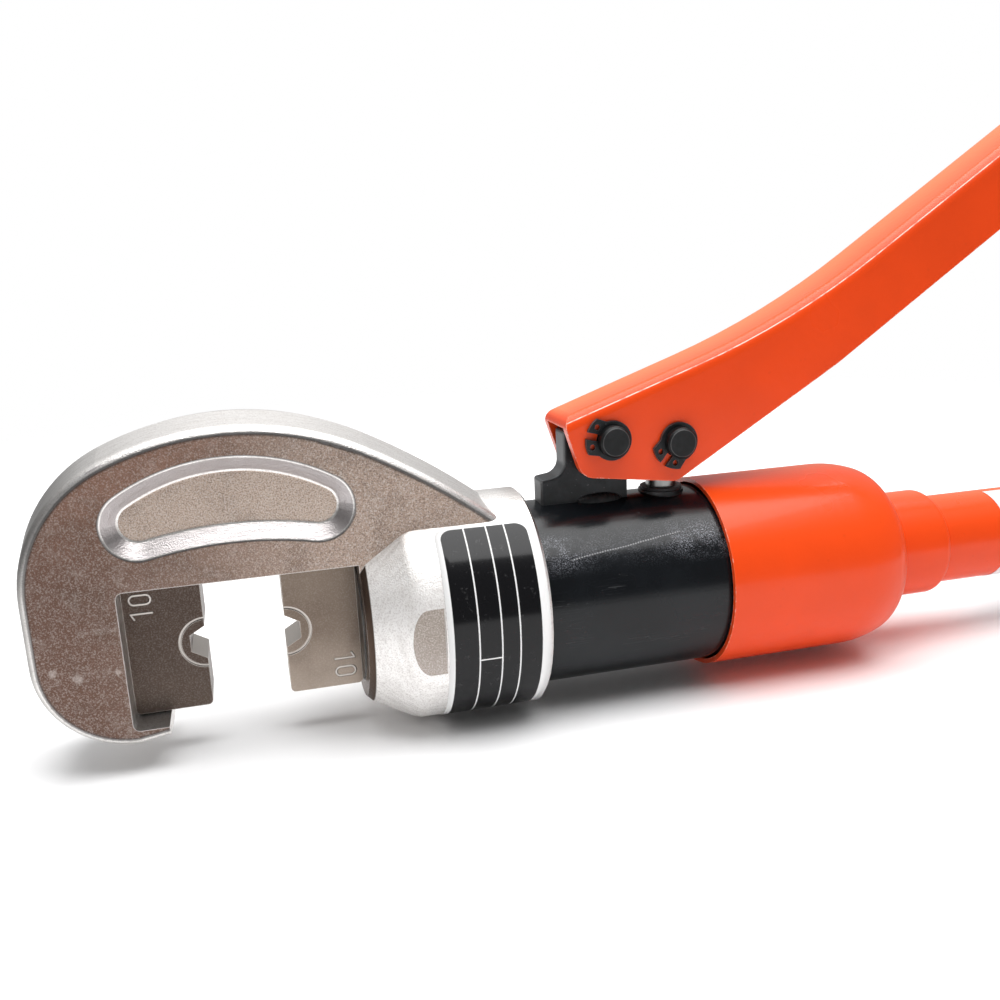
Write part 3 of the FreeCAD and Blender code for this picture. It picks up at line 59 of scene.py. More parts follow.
def add_object(name, data):
    made = bpy.data.objects.new(name, data)
    bpy.context.scene.collection.objects.link(made)
    return made


# Camera, at the photograph's viewing angle

CAMERA_AT = Vector((14.16, -242.26, 87.81)) * MM
CAMERA_RIGHT = Vector((0.96557, -0.25653, -0.04321))
CAMERA_UP = Vector((0.10261, 0.22295, 0.96941))
LENS_MM = 36
SENSOR_MM = 36
CLIP_START = 0.01


def make_camera():
    data = bpy.data.cameras.new("camera")
    data.lens = LENS_MM
    data.sensor_width = SENSOR_MM
    data.clip_start = CLIP_START
    camera = add_object("camera", data)
    back = CAMERA_RIGHT.cross(CAMERA_UP).normalized()
    turn = Matrix((CAMERA_RIGHT, CAMERA_UP, back)).transposed().to_4x4()
    camera.matrix_world = Matrix.Translation(CAMERA_AT) @ turn
    bpy.context.scene.camera = camera


# Shader nodes

def with_alpha(source):
    """A colour written as three numbers gets its alpha; a socket or a number stays as it is."""
    return (*source, 1.0) if isinstance(source, tuple) and len(source) == 3 else source


class Tree:
    """A node tree with short ways to add and link its nodes."""

    def __init__(self, tree):
        self.tree = tree

    def node(self, kind, **settings):
        node = self.tree.nodes.new(kind)
        for name, setting in settings.items():
            setattr(node, name, setting)
        return node

    def feed(self, target, source):
        """Link a socket to an input, or set a plain value on it."""
        if isinstance(source, bpy.types.NodeSocket):
            self.tree.links.new(source, target)
        else:
            target.default_value = with_alpha(source)

    def math(self, operation, *values):
        node = self.node("ShaderNodeMath", operation=operation)
        for target, source in zip(node.inputs, values):
            self.feed(target, source)
        return node.outputs[0]

    def chain(self, operation, first, *others):
        for other in others:
            first = self.math(operation, first, other)
        return first

    def total(self, *values):
        return self.chain("ADD", *values)

    def product(self, *values):
        return self.chain("MULTIPLY", *values)

    def largest(self, *values):
        return self.chain("MAXIMUM", *values)

    def less(self, first, second):
        return self.math("SUBTRACT", first, second)

    def size(self, source):
        """The value without its sign."""
        return self.math("ABSOLUTE", source)

    def apart(self, first, second):
        """How far two values lie from each other."""
        return self.size(self.less(first, second))

    def reach(self, first, second):
        """The length of a vector with these two parts."""
        return self.math("SQRT", self.total(self.product(first, first), self.product(second, second)))

    def axes(self, vector):
        node = self.node("ShaderNodeSeparateXYZ")
        self.feed(node.inputs[0], vector)
        return node.outputs[0], node.outputs[1], node.outputs[2]

    def between(self, source, low, high):
        """0 at low and 1 at high, smooth and clamped; low may be the larger."""
        node = self.node("ShaderNodeMapRange", interpolation_type="SMOOTHSTEP")
        self.feed(node.inputs["Value"], source)
        node.inputs["From Min"].default_value = low
        node.inputs["From Max"].default_value = high
        return node.outputs["Result"]

    def spread(self, source, low, high):
        """0..1 drawn out to low..high."""
        node = self.node("ShaderNodeMapRange")
        self.feed(node.inputs["Value"], source)
        node.inputs["To Min"].default_value = low
        node.inputs["To Max"].default_value = high
        return node.outputs["Result"]

    def mix(self, share, first, second):
        """From the first colour to the second."""
        node = self.node("ShaderNodeMix", data_type="RGBA")
        self.feed(node.inputs[0], share)
        self.feed(node.inputs[6], first)
        self.feed(node.inputs[7], second)
        return node.outputs[2]

    def blend(self, share, first, second):
        """From the first number to the second."""
        node = self.node("ShaderNodeMix", data_type="FLOAT")
        self.feed(node.inputs[0], share)
        self.feed(node.inputs[2], first)
        self.feed(node.inputs[3], second)
        return node.outputs[0]

    def cover(self, under, mask, share, tone):
        """A tone laid over a colour by the given share, where the mask is 1."""
        return self.mix(self.product(mask, share), under, tone)


# How far the dot product of the rounded and the flat normal falls below 1: where an edge begins, and in full
EDGE_TURN = (0.018, 0.12)
EDGE_SAMPLES = 6


class Look(Tree):
    """A material on one Principled shader, in millimetres of the object's own coordinates."""

    def __init__(self, name, **constants):
        self.material = bpy.data.materials.new(name)
        self.material.use_nodes = True
        super().__init__(self.material.node_tree)
        self.shader = self.tree.nodes["Principled BSDF"]
        coordinates = self.node("ShaderNodeTexCoord")
        scale = self.node("ShaderNodeVectorMath", operation="SCALE")
        self.feed(scale.inputs[0], coordinates.outputs["Object"])
        scale.inputs["Scale"].default_value = 1 / MM
        self.place = scale.outputs[0]
        self.normal = coordinates.outputs["Normal"]
        self.set(**constants)

    def set(self, **sockets):
        for name, source in sockets.items():
            self.feed(self.shader.inputs[name.replace("_", " ")], source)

    def stretch(self, x, y, z, turn=(0, 0, 0)):
        """Coordinates in which a pattern is x, y and z mm long along the three axes."""
        node = self.node("ShaderNodeMapping")
        self.feed(node.inputs["Vector"], self.place)
        node.inputs["Rotation"].default_value = [radians(angle) for angle in turn]
        node.inputs["Scale"].default_value = (1 / x, 1 / y, 1 / z)
        return node.outputs[0]

    def noise(self, size, detail=2.0, roughness=0.5, distortion=0.0, vector=None):
        """Noise whose largest features are about size mm."""
        node = self.node("ShaderNodeTexNoise")
        self.feed(node.inputs["Vector"], vector or self.place)
        node.inputs["Scale"].default_value = 1 / size
        node.inputs["Detail"].default_value = detail
        node.inputs["Roughness"].default_value = roughness
        node.inputs["Distortion"].default_value = distortion
        return node.outputs["Fac"]

    def cells(self, size):
        node = self.node("ShaderNodeTexVoronoi")
        self.feed(node.inputs["Vector"], self.place)
        node.inputs["Scale"].default_value = 1 / size
        return node.outputs["Distance"]

    def specks(self, size, share):
        """Sparse round specks of about size mm, on the given share of the cells."""
        near = self.between(self.cells(size), 0.30, 0.16)
        chosen = self.between(self.noise(size * 2.3, 1), 0.66 - share, 0.70 - share)
        return self.product(near, chosen)

    def scratches(self, length, width, turn, rarity):
        """Thin, nearly straight lines, in short runs."""
        along = self.stretch(length, width, width, turn)
        thin = self.between(self.apart(self.noise(1, 1, vector=along), 0.5), rarity, 0)
        run = self.between(self.noise(7, 2, vector=self.stretch(1.5, 1, 1, turn)), 0.56, 0.62)
        return self.product(thin, run)

    def edge(self, radius):
        """1 on corners of about radius mm, 0 on the open faces."""
        bevel = self.node("ShaderNodeBevel", samples=EDGE_SAMPLES)
        bevel.inputs["Radius"].default_value = radius * MM
        flat = self.node("ShaderNodeNewGeometry")
        dot = self.node("ShaderNodeVectorMath", operation="DOT_PRODUCT")
        self.feed(dot.inputs[0], bevel.outputs[0])
        self.feed(dot.inputs[1], flat.outputs["Normal"])
        return self.between(dot.outputs["Value"], 1 - EDGE_TURN[0], 1 - EDGE_TURN[1])

    def bump(self, height, depth, under=None):
        """Height 0..1 stands depth mm proud."""
        node = self.node("ShaderNodeBump")
        self.feed(node.inputs["Height"], height)
        node.inputs["Distance"].default_value = depth * MM
        if under is not None:
            self.feed(node.inputs["Normal"], under)
        return node.outputs["Normal"]


# Light and world: one large soft box above, and a room that is darkest in front and below

KEY_LIGHT = dict(place=(0.2, -0.02, 0.95), aim=(0.12, 0, 0), size=1.05, power=17.0)
ROOM_FRONT = 0.17
ROOM_TOP = 0.72
ROOM_BACK = 0.22
# The room turns from front to top where z plus this share of y rises through the range
ROOM_TILT = 0.35
ROOM_RISE = (0.35, 0.95)
ROOM_BEHIND = (0, 0.8)
WHITE = (1, 1, 1)


def make_light(name, place, aim, size, power):
    data = bpy.data.lights.new(name, "AREA")
    data.size = size
    data.energy = power
    light = add_object(name, data)
    light.location = place
    light.rotation_euler = (Vector(aim) - Vector(place)).to_track_quat("-Z", "Y").to_euler()


def make_world():
    """White where the camera sees it, a soft room for everything else."""
    world = bpy.data.worlds.new("studio")
    bpy.context.scene.world = world
    world.use_nodes = True
    tree = Tree(world.node_tree)
    world.node_tree.nodes.clear()
    path = tree.node("ShaderNodeLightPath")
    seen = tree.largest(path.outputs["Is Camera Ray"], path.outputs["Is Transmission Ray"])
    shown = tree.node("ShaderNodeBackground")
    tree.feed(shown.inputs["Color"], WHITE)
    lighting = tree.node("ShaderNodeBackground")
    tree.feed(lighting.inputs["Color"], WHITE)
    tree.feed(lighting.inputs["Strength"], room_strength(tree))
    choose = tree.node("ShaderNodeMixShader")
    tree.feed(choose.inputs[0], seen)
    tree.feed(choose.inputs[1], lighting.outputs[0])
    tree.feed(choose.inputs[2], shown.outputs[0])
    tree.feed(tree.node("ShaderNodeOutputWorld").inputs["Surface"], choose.outputs[0])


def room_strength(tree):
    _, y, z = tree.axes(tree.node("ShaderNodeTexCoord").outputs["Generated"])
    rise = tree.between(tree.total(z, tree.product(y, ROOM_TILT)), *ROOM_RISE)
    behind = tree.product(tree.between(y, *ROOM_BEHIND), ROOM_BACK)
    return tree.total(tree.spread(rise, ROOM_FRONT, ROOM_TOP), behind)


FLOOR_SIZE = 3
FLOOR_COLOUR = (0.97, 0.97, 0.975)
# The floor fades out between these distances in mm from this x
FLOOR_MIDDLE = 150
FLOOR_FADE = (300, 620)


def make_floor():
    """A pale table that turns into the white background away from the object."""
    mesh = bpy.data.meshes.new("floor")
    low = CAD_BOX[0].z
    half = FLOOR_SIZE / 2
    corners = [(-half, -half, low), (half, -half, low), (half, half, low), (-half, half, low)]
    mesh.from_pydata(corners, [], [(0, 1, 2, 3)])
    floor = add_object("floor", mesh)
    mesh.materials.append(floor_white())


def floor_white():
    look = Look("floor_white", Base_Color=FLOOR_COLOUR, Roughness=0.7, Specular_IOR_Level=0.1)
    x, y, _ = look.axes(look.place)
    fade = look.between(look.reach(look.less(x, FLOOR_MIDDLE), y), *FLOOR_FADE)
    clear = look.node("ShaderNodeBsdfTransparent")
    choose = look.node("ShaderNodeMixShader")
    look.feed(choose.inputs[0], fade)
    look.feed(choose.inputs[1], look.shader.outputs[0])
    look.feed(choose.inputs[2], clear.outputs[0])
    look.feed(look.tree.nodes["Material Output"].inputs["Surface"], choose.outputs[0])
    return look.material


# Forged head: colours

SIDE_LEFT = (0.150, 0.088, 0.068)
SIDE_RIGHT = (0.43, 0.33, 0.27)
SIDE_RED = (0.33, 0.185, 0.135)
RECESS_GREY = (0.56, 0.455, 0.38)
# Dark pits of the skin, also used as the painted shade in the ram's mouth
PIT_AND_SHADE_DARK = (0.10, 0.068, 0.052)
WALL_MAUVE = (0.40, 0.365, 0.37)
GRAIN_PALE = (0.74, 0.69, 0.65)
FORGED_SILVER = (0.86, 0.84, 0.82)
FORGED_GREY = (0.70, 0.675, 0.65)
RIM_SHADE = (0.11, 0.105, 0.10)
FLAT_BROWN = (0.145, 0.108, 0.078)
FLAT_PALE = (0.215, 0.172, 0.145)
CONE_PALE = (0.93, 0.915, 0.90)
COLLAR_BROWN = (0.40, 0.36, 0.34)
EDGE_BRIGHT = (0.92, 0.91, 0.90)
SEAM_DARK = (0.06, 0.055, 0.055)

# Forged head: where one look gives way to the next. A mask is 0 at a pair's first value and 1 at its second.
# Depths, lengths, heights and radii are in mm, and the others are parts of the surface normal

SIDE_FACING = (0.955, 0.992)
SEAM_FACINGS = ((0.88, 0.95), (0.998, 0.985))
FLAT_FACING = (0.990, 0.998)
WALL_FACING = 0.777
WALL_SPREAD = (0.08, 0.02)
HOOK_SHADE_AHEAD = (-0.25, -0.90)
HEAD_DEPTH = (20, 19)
RECESS_DEPTH = (13.2, 12.2)
SEAM_DEPTHS = ((14.55, 14.50), (12.8, 13.2))
FLAT_DEPTHS = ((19, 20), (27.5, 27.2))
CONE_FRONT = (37.0, 38.6)
CONE_RADIUS = (28.7, 28.2)
CONE_HEIGHT = (23, 13)
MOUTH_SHADE = ((38.5, 38.2), (36.7, 36.85))
MOUTH_SHADE_HEIGHT = (17.2, 16.8)
WALL_LENGTH = ((-21, -20), (38.2, 38.0))
WALL_HEIGHT = ((22.8, 23), (46.6, 46.4))
SIDE_LENGTH = (-32, 50)
RED_HEIGHT = (18, 46)
RED_LENGTH = (26, -6)
COARSE_LENGTH = (0, 40)
HOOK_SHADE_FRONT = (36, 30)
COLLAR_REAR = (73, 80)
COLLAR_TOP = (14, 22)
FLAT_RAGGED = 10
FLAT_FADE = (9, -2)
# Scuffs of the side face: x, z and radius in mm
SCUFFS = ((-33.2, 0.0, 1.1), (-28.0, -2.0, 1.6), (-19.4, -1.4, 1.0))
SCUFF_RAGGED = 3.2
SCUFF_CORE = 0.3


class Forging(Look):
    """The head's steel, with masks for its differently finished parts."""

    def __init__(self, name):
        super().__init__(name, Metallic=1.0)
        self.x, self.y, self.z = self.axes(self.place)
        self.ahead, across, _ = self.axes(self.normal)
        self.facing = self.size(across)
        self.depth = self.size(self.y)
        self.grain = self.noise(0.34, 2, 0.6)
        self.pits = self.noise(0.36, 1, 0.5)
        self.patches = self.noise(13, 3, 0.6, 0.4)
        self.ground = self.noise(1, 3, 0.55, vector=self.stretch(5, 0.9, 5))
        self.sunk = self.between(self.depth, *RECESS_DEPTH)

    def window(self, source, *ranges):
        """1 where the source is inside every range."""
        return self.product(*(self.between(source, *each) for each in ranges))

    def side(self):
        """The flat faces of the C, with the recess floors."""
        return self.product(self.between(self.facing, *SIDE_FACING), self.between(self.depth, *HEAD_DEPTH))

    def seam(self):
        """The dark line round the side face, where it bends into the rim."""
        return self.product(self.window(self.facing, *SEAM_FACINGS), self.window(self.depth, *SEAM_DEPTHS))

    def cone(self):
        """The turned collar, below its top."""
        turned = self.product(self.between(self.x, *CONE_FRONT),
                              self.between(self.reach(self.y, self.z), *CONE_RADIUS))
        return self.product(turned, self.between(self.z, *CONE_HEIGHT))

    def spanner_flat(self):
        return self.product(self.between(self.facing, *FLAT_FACING), self.window(self.depth, *FLAT_DEPTHS))

    def recess_wall(self):
        """The leaning wall of the side recess, between its two rounded edges."""
        box = self.product(self.window(self.x, *WALL_LENGTH), self.window(self.z, *WALL_HEIGHT))
        return self.product(box, self.between(self.apart(self.facing, WALL_FACING), *WALL_SPREAD))

    def scuffs(self):
        """Small ragged rubbed spots."""
        ragged = self.product(self.less(self.noise(1.6, 3, 0.7), 0.5), SCUFF_RAGGED)
        mask = 0.0
        for spot_x, spot_z, radius in SCUFFS:
            far = self.reach(self.less(self.x, spot_x), self.less(self.z, spot_z))
            mask = self.largest(mask, self.between(self.total(far, ragged), radius, radius * SCUFF_CORE))
        return mask

    def brown(self):
        """The speckled skin of the side faces, coarser to the right and in the recess."""
        skin = self.mix(self.between(self.x, *SIDE_LENGTH), SIDE_LEFT, SIDE_RIGHT)
        red = self.product(self.between(self.z, *RED_HEIGHT), self.between(self.x, *RED_LENGTH))
        skin = self.cover(skin, red, 0.6, SIDE_RED)
        skin = self.cover(skin, self.sunk, 0.85, RECESS_GREY)
        skin = self.cover(skin, self.between(self.patches, 0.45, 0.7), 0.30, PIT_AND_SHADE_DARK)
        blotch = self.noise(3.2, 3, 0.65)
        skin = self.cover(skin, self.between(blotch, 0.50, 0.75), 0.12, GRAIN_PALE)
        coarse = self.largest(self.between(self.x, *COARSE_LENGTH), self.sunk)
        dark, light = self.between(self.pits, 0.42, 0.70), self.between(self.grain, 0.44, 0.72)
        skin = self.cover(skin, dark, self.spread(coarse, 0.32, 0.52), PIT_AND_SHADE_DARK)
        skin = self.cover(skin, light, self.spread(coarse, 0.27, 0.52), GRAIN_PALE)
        return self.cover(skin, self.scuffs(), 0.28, GRAIN_PALE)

    def silver(self, cone, flat):
        """The bright skin of rim, cone and collar, with painted shade on the hook's front faces and in the
        ram's mouth.
        """
        wear_and_highlight_gaps = self.product(self.between(self.ground, 0.40, 0.68), self.spread(cone, 0.65, 0.35))
        skin = self.mix(wear_and_highlight_gaps, self.mix(cone, FORGED_SILVER, CONE_PALE), FORGED_GREY)
        skin = self.cover(skin, self.between(self.pits, 0.42, 0.74), 0.24, SIDE_LEFT)
        # Painted shade: rim faces turned towards -x at the hook's front are darkened
        front = self.product(self.between(self.ahead, *HOOK_SHADE_AHEAD), self.between(self.x, *HOOK_SHADE_FRONT))
        skin = self.cover(skin, front, 0.75, RIM_SHADE)
        # Painted shade on the collar's front chamfer round the ram's mouth, below its top
        mouth_shade = self.product(self.window(self.x, *MOUTH_SHADE), self.between(self.z, *MOUTH_SHADE_HEIGHT))
        skin = self.mix(mouth_shade, skin, PIT_AND_SHADE_DARK)
        skin = self.cover(skin, self.recess_wall(), 0.75, WALL_MAUVE)
        skin = self.cover(skin, flat, 0.85, self.milled())
        rear = self.product(self.between(self.x, *COLLAR_REAR), self.between(self.z, *COLLAR_TOP))
        return self.cover(skin, rear, 0.6, COLLAR_BROWN)

    def milled(self):
        """The grainy brown of the spanner flats, paler below."""
        ragged = self.product(self.noise(2.6, 4, 0.75), FLAT_RAGGED)
        tone = self.mix(self.between(self.total(self.z, ragged), *FLAT_FADE), FLAT_BROWN, FLAT_PALE)
        return self.cover(tone, self.between(self.grain, 0.42, 0.72), 0.35, GRAIN_PALE)


def forged_steel():
    """Forged head: speckled brown side faces, greyer recess floors, bright rims and collar."""
    look = Forging("forged_steel")
    side, cone, flat = look.side(), look.cone(), look.spanner_flat()
    base = look.mix(side, look.silver(cone, flat), look.brown())
    base = look.cover(base, look.edge(0.5), 0.6, EDGE_BRIGHT)
    base = look.cover(base, look.seam(), 0.7, SEAM_DARK)
    softer = look.product(cone, look.less(1, flat), 0.24)
    rough = look.blend(side, look.total(look.spread(look.ground, 0.30, 0.46), softer),
                       look.spread(look.patches, 0.46, 0.60))
    fine = look.bump(look.total(look.grain, look.pits), 0.05)
    look.set(Base_Color=base, Roughness=rough, Normal=look.bump(look.ground, 0.10, fine))
    return look.material


# Dies. The size number, "10", stands on its side in one corner of each

DIE_WEAR_AND_HIGHLIGHT = (0.66, 0.62, 0.58)
DIE_MARK = (0.72, 0.68, 0.64)
DIE_FADE = (2, -19)
DIGIT_HALF_LENGTH = 2.4
DIGIT_STROKE = 0.24
DIGIT_SOFT = 0.12
FLAG_DROP = 1.3
FLAG_SLANT = 0.5
MARK_X = -13.7
ZERO_Z = 12.4
ONE_Z = 9.0
ZERO_HALF_WIDTH = 1.15
# The moving die is the fixed one turned half round, this far along x
MOVING_SHIFT = 18.7
RING_RADIUS = 6.1
RING_HIGHLIGHT_LINE = (0.34, 0.14)
# The number is on the near face only, the ring's painted highlight on both side faces, by y of the normal
NEAR_FACING = (-0.9, -0.99)
BOTH_FACING = (0.9, 0.99)
CHAMFER_FACING = (0.975, 0.90)


def die_steel(name, tint, pale, moving):
    """Hardened die: dark satin faces, paler below, with thin bright chamfers, a painted highlight on the
    ring round the nest, and fine grinding lines.
    """
    look = Look(name, Metallic=1.0)
    x, _, z = look.axes(look.place)
    nx, ny, nz = look.axes(look.normal)
    lines = look.noise(1, 2, 0.6, vector=look.stretch(0.12, 3, 9))
    cloud = look.noise(9, 3, 0.55)
    grain = look.noise(0.36, 2, 0.6)
    body = look.mix(look.between(z, *DIE_FADE), tint, pale)
    body = look.cover(body, look.between(cloud, 0.4, 0.7), 0.25, PIT_AND_SHADE_DARK)
    body = look.cover(body, look.between(grain, 0.42, 0.75), 0.09, GRAIN_PALE)
    straight = look.largest(look.size(nx), look.size(ny), look.size(nz))
    bright = look.largest(look.between(straight, *CHAMFER_FACING), look.edge(0.3))
    body = look.cover(body, bright, 0.7, DIE_WEAR_AND_HIGHLIGHT)
    if moving:
        x, z = look.less(MOVING_SHIFT, x), look.product(z, -1)
    mark = look.product(digits(look, x, z), look.between(ny, *NEAR_FACING))
    body = look.cover(body, mark, 0.8, DIE_MARK)
    # Painted highlight along the ring round the nest
    ring_highlight = look.product(nest_ring_highlight(look, x, z), look.between(look.size(ny), *BOTH_FACING))
    body = look.cover(body, ring_highlight, 0.75, DIE_WEAR_AND_HIGHLIGHT)
    rough = look.spread(look.total(lines, look.product(cloud, 0.3)), 0.32, 0.50)
    skin = look.bump(mark, 0.25, look.bump(look.total(lines, grain), 0.012))
    look.set(Base_Color=body, Roughness=rough, Normal=skin)
    return look.material


def digits(look, x, z):
    """The mask of the number, from the distances to its strokes."""
    along = look.less(x, MARK_X)
    past = look.largest(look.less(look.size(along), DIGIT_HALF_LENGTH - ZERO_HALF_WIDTH), 0)
    zero = look.apart(look.reach(past, look.less(z, ZERO_Z)), ZERO_HALF_WIDTH)
    over = look.largest(look.less(look.size(along), DIGIT_HALF_LENGTH), 0)
    beside = look.less(z, ONE_Z)
    nearest = look.chain("MINIMUM", zero, look.reach(over, beside), flag(look, along, beside))
    return look.between(nearest, DIGIT_STROKE + DIGIT_SOFT, DIGIT_STROKE - DIGIT_SOFT)


def flag(look, along, beside):
    """Distance to the short slanting stroke at the top of the 1."""
    down = look.product(beside, -1)
    held = look.math("MINIMUM", look.largest(down, 0), FLAG_DROP)
    ahead = look.less(look.total(along, DIGIT_HALF_LENGTH), look.product(held, FLAG_SLANT))
    return look.reach(ahead, look.less(down, held))


def nest_ring_highlight(look, x, z):
    """A painted highlight on the edge of the half ring round the nest."""
    return look.between(look.apart(look.reach(x, z), RING_RADIUS), *RING_HIGHLIGHT_LINE)


RAM_DARK = (0.045, 0.043, 0.042)
RAM_STAIN = (0.14, 0.135, 0.13)
RAM_EDGE = (0.4, 0.39, 0.38)


def ram_steel():
    """Stained dark ram with fine turning rings."""
    look = Look("ram_steel", Metallic=1.0)
    turned = look.noise(1, 2, 0.6, vector=look.stretch(0.25, 14, 14))
    stain = look.noise(6, 3, 0.6)
    body = look.mix(look.between(stain, 0.35, 0.7), RAM_DARK, RAM_STAIN)
    body = look.mix(look.edge(0.5), body, RAM_EDGE)
    look.set(Base_Color=body, Roughness=look.spread(turned, 0.3, 0.5), Normal=look.bump(turned, 0.01))
    return look.material


# Barrel. Its long scratch: x in mm and degrees from the top, start and end

SCRATCH = ((88.2, 55.4), (118.1, 45.3))
SCRATCH_DOTS = 9
SCRATCH_LINE = (0.26, 0.10)
SCRATCH_WAVE = 0.03
SCRATCH_END = 0.5
BARREL_RADIUS = 24.0
BARREL_BLACK = (0.0040, 0.0048, 0.0060)
BARREL_BLUISH = (0.0075, 0.0090, 0.0110)
BARREL_MARK = (0.42, 0.42, 0.43)
BARREL_GLINT = (0.66, 0.68, 0.76)
BARREL_EDGE = (0.25, 0.25, 0.25)
SPARKLE_ANGLE = 50
SPARKLE_HALF = 17
SPARKLE_CORE = 2
SPARKLE_ENDS = ((96, 84), (108, 122))


def near_angle(look, y, z):
    """The angle from the top of the barrel towards its near side."""
    return look.math("ARCTAN2", look.product(y, -1), z)


def long_scratch(look):
    """A dotted line over the barrel's near side."""
    x, y, z = look.axes(look.place)
    (x0, a0), (x1, a1) = ((place, radians(degrees)) for place, degrees in SCRATCH)
    line = look.total(look.product(look.less(x, x0), (a1 - a0) / (x1 - x0)), a0)
    wave = look.product(look.less(look.noise(6, 1), 0.5), SCRATCH_WAVE)
    turn = look.total(near_angle(look, y, z), look.product(line, -1), wave)
    thin = look.between(look.product(look.size(turn), BARREL_RADIUS), *SCRATCH_LINE)
    run = look.product(look.between(x, x0 - SCRATCH_END, x0 + SCRATCH_END),
                       look.between(x, x1 + SCRATCH_END, x1 - SCRATCH_END))
    dots = look.between(look.math("SINE", look.product(x, SCRATCH_DOTS)), -0.2, 0.5)
    return look.product(thin, run, look.spread(dots, 0.15, 1))


def painted_sparkle(look):
    """Painted glints: fine bright specks along the barrel's highlight, thicker at both ends."""
    x, y, z = look.axes(look.place)
    off = look.apart(near_angle(look, y, z), radians(SPARKLE_ANGLE))
    band = look.between(off, radians(SPARKLE_HALF), radians(SPARKLE_CORE))
    ends = look.largest(*(look.between(x, *each) for each in SPARKLE_ENDS))
    patch = look.between(look.noise(5, 3, 0.6), 0.26, 0.62)
    grain = look.between(look.noise(0.26, 2, 0.75), 0.50, 0.64)
    return look.product(band, look.spread(ends, 0.25, 1), patch, grain)


def barrel_black():
    """Black satin barrel: painted glints in its highlight, one long dotted scratch and faint short ones."""
    look = Look("barrel_black", Specular_IOR_Level=0.26)
    cloud = look.noise(22, 4, 0.55)
    grain = look.noise(0.5, 2, 0.7)
    turned = look.noise(1, 2, 0.6, vector=look.stretch(9, 0.7, 0.7))
    loose = look.scratches(16, 0.9, (0, 35, 20), 0.006)
    marks = look.largest(look.product(loose, 0.12), long_scratch(look))
    body = look.mix(look.between(cloud, 0.35, 0.7), BARREL_BLACK, BARREL_BLUISH)
    body = look.cover(body, marks, 0.7, BARREL_MARK)
    # Painted highlight: glinting specks in the band where the barrel's highlight falls
    body = look.cover(body, painted_sparkle(look), 0.5, BARREL_GLINT)
    body = look.cover(body, look.edge(0.5), 0.4, BARREL_EDGE)
    rough = look.spread(look.total(look.product(cloud, 0.6), look.product(turned, 0.4)), 0.15, 0.25)
    skin = look.bump(turned, 0.005, look.bump(grain, 0.012))
    look.set(Base_Color=body, Roughness=rough, Normal=look.bump(look.less(1, marks), 0.02, skin))
    return look.material


# Orange paint of the cup, the tube and the lever

ORANGE = (0.86, 0.068, 0.008)
ORANGE_DEEP = tuple(part * 0.90 for part in ORANGE)
ORANGE_LIT_TOP = (0.88, 0.080, 0.008)
ORANGE_TOP_HIGHLIGHT = (0.93, 0.155, 0.040)
ORANGE_EDGE_HIGHLIGHT = (0.95, 0.22, 0.10)
ORANGE_WORN = (0.92, 0.62, 0.52)
ORANGE_PIT = (0.35, 0.03, 0.01)
CREASE_HIGHLIGHT = (1.0, 0.86, 0.74)
CREASE_HEIGHT = (44, 46)
CREASE_DEPTH = (6, 6.6)
CREASE_FACING = 0.80
CREASE_LINE = (0.035, 0.012)
TOP_HIGHLIGHT_DEPTH = (-8, 6)


def crease_highlight(look):
    """A painted highlight: the bright line along the lever's two long bends."""
    _, y, z = look.axes(look.place)
    _, facing, _ = look.axes(look.normal)
    bend = look.product(look.between(z, *CREASE_HEIGHT), look.between(look.size(y), *CREASE_DEPTH))
    # Gaps that break the painted highlight into patches
    wear_and_highlight_gaps = look.spread(look.between(look.noise(3, 3, 0.6), 0.35, 0.55), 0.3, 1)
    lean = look.between(look.apart(look.size(facing), CREASE_FACING), *CREASE_LINE)
    return look.product(bend, wear_and_highlight_gaps, lean)


def orange_paint():
    """Gloss orange-red paint with a light orange-peel, thin wear on the edges, and painted light: lighter
    upward faces, a painted highlight on the edges and one along the lever's bends.
    """
    look = Look("orange_paint", Specular_IOR_Level=0.22, Coat_Weight=0.10, Coat_Roughness=0.06)
    _, y, _ = look.axes(look.place)
    _, _, up = look.axes(look.normal)
    cloud = look.noise(30, 3, 0.5)
    body = look.mix(look.between(cloud, 0.3, 0.7), ORANGE, ORANGE_DEEP)
    # Painted light: faces turned upwards are lighter, with a painted highlight paler towards the far side
    upper = look.mix(look.between(y, *TOP_HIGHLIGHT_DEPTH), ORANGE_LIT_TOP, ORANGE_TOP_HIGHLIGHT)
    body = look.mix(look.between(up, 0.2, 0.95), body, upper)
    edge = look.edge(0.55)
    wear_and_highlight_gaps = look.product(edge, look.between(look.noise(2.2, 4, 0.7), 0.50, 0.60))
    # Painted highlight along the edges; the pale worn paint laid after it is real wear
    body = look.cover(body, edge, 0.35, ORANGE_EDGE_HIGHLIGHT)
    body = look.cover(body, wear_and_highlight_gaps, 0.7, ORANGE_WORN)
    # Painted highlight along the lever's bends
    body = look.cover(body, crease_highlight(look), 0.8, CREASE_HIGHLIGHT)
    body = look.cover(body, look.specks(1.8, 0.035), 0.08, ORANGE_PIT)
    peel = look.total(look.noise(1.6, 2, 0.5), look.product(look.noise(9, 2, 0.5), 1.5))
    look.set(Base_Color=body, Roughness=look.spread(cloud, 0.24, 0.34), Normal=look.bump(peel, 0.035))
    return look.material


# Blackened steel

OXIDE_BLACK = (0.009, 0.010, 0.011)
OXIDE_GREY = (0.022, 0.024, 0.026)
OXIDE_LIT_FRONT = (0.16, 0.165, 0.17)
OXIDE_EDGE = (0.20, 0.205, 0.21)
OXIDE_SPECK = (0.25, 0.25, 0.26)
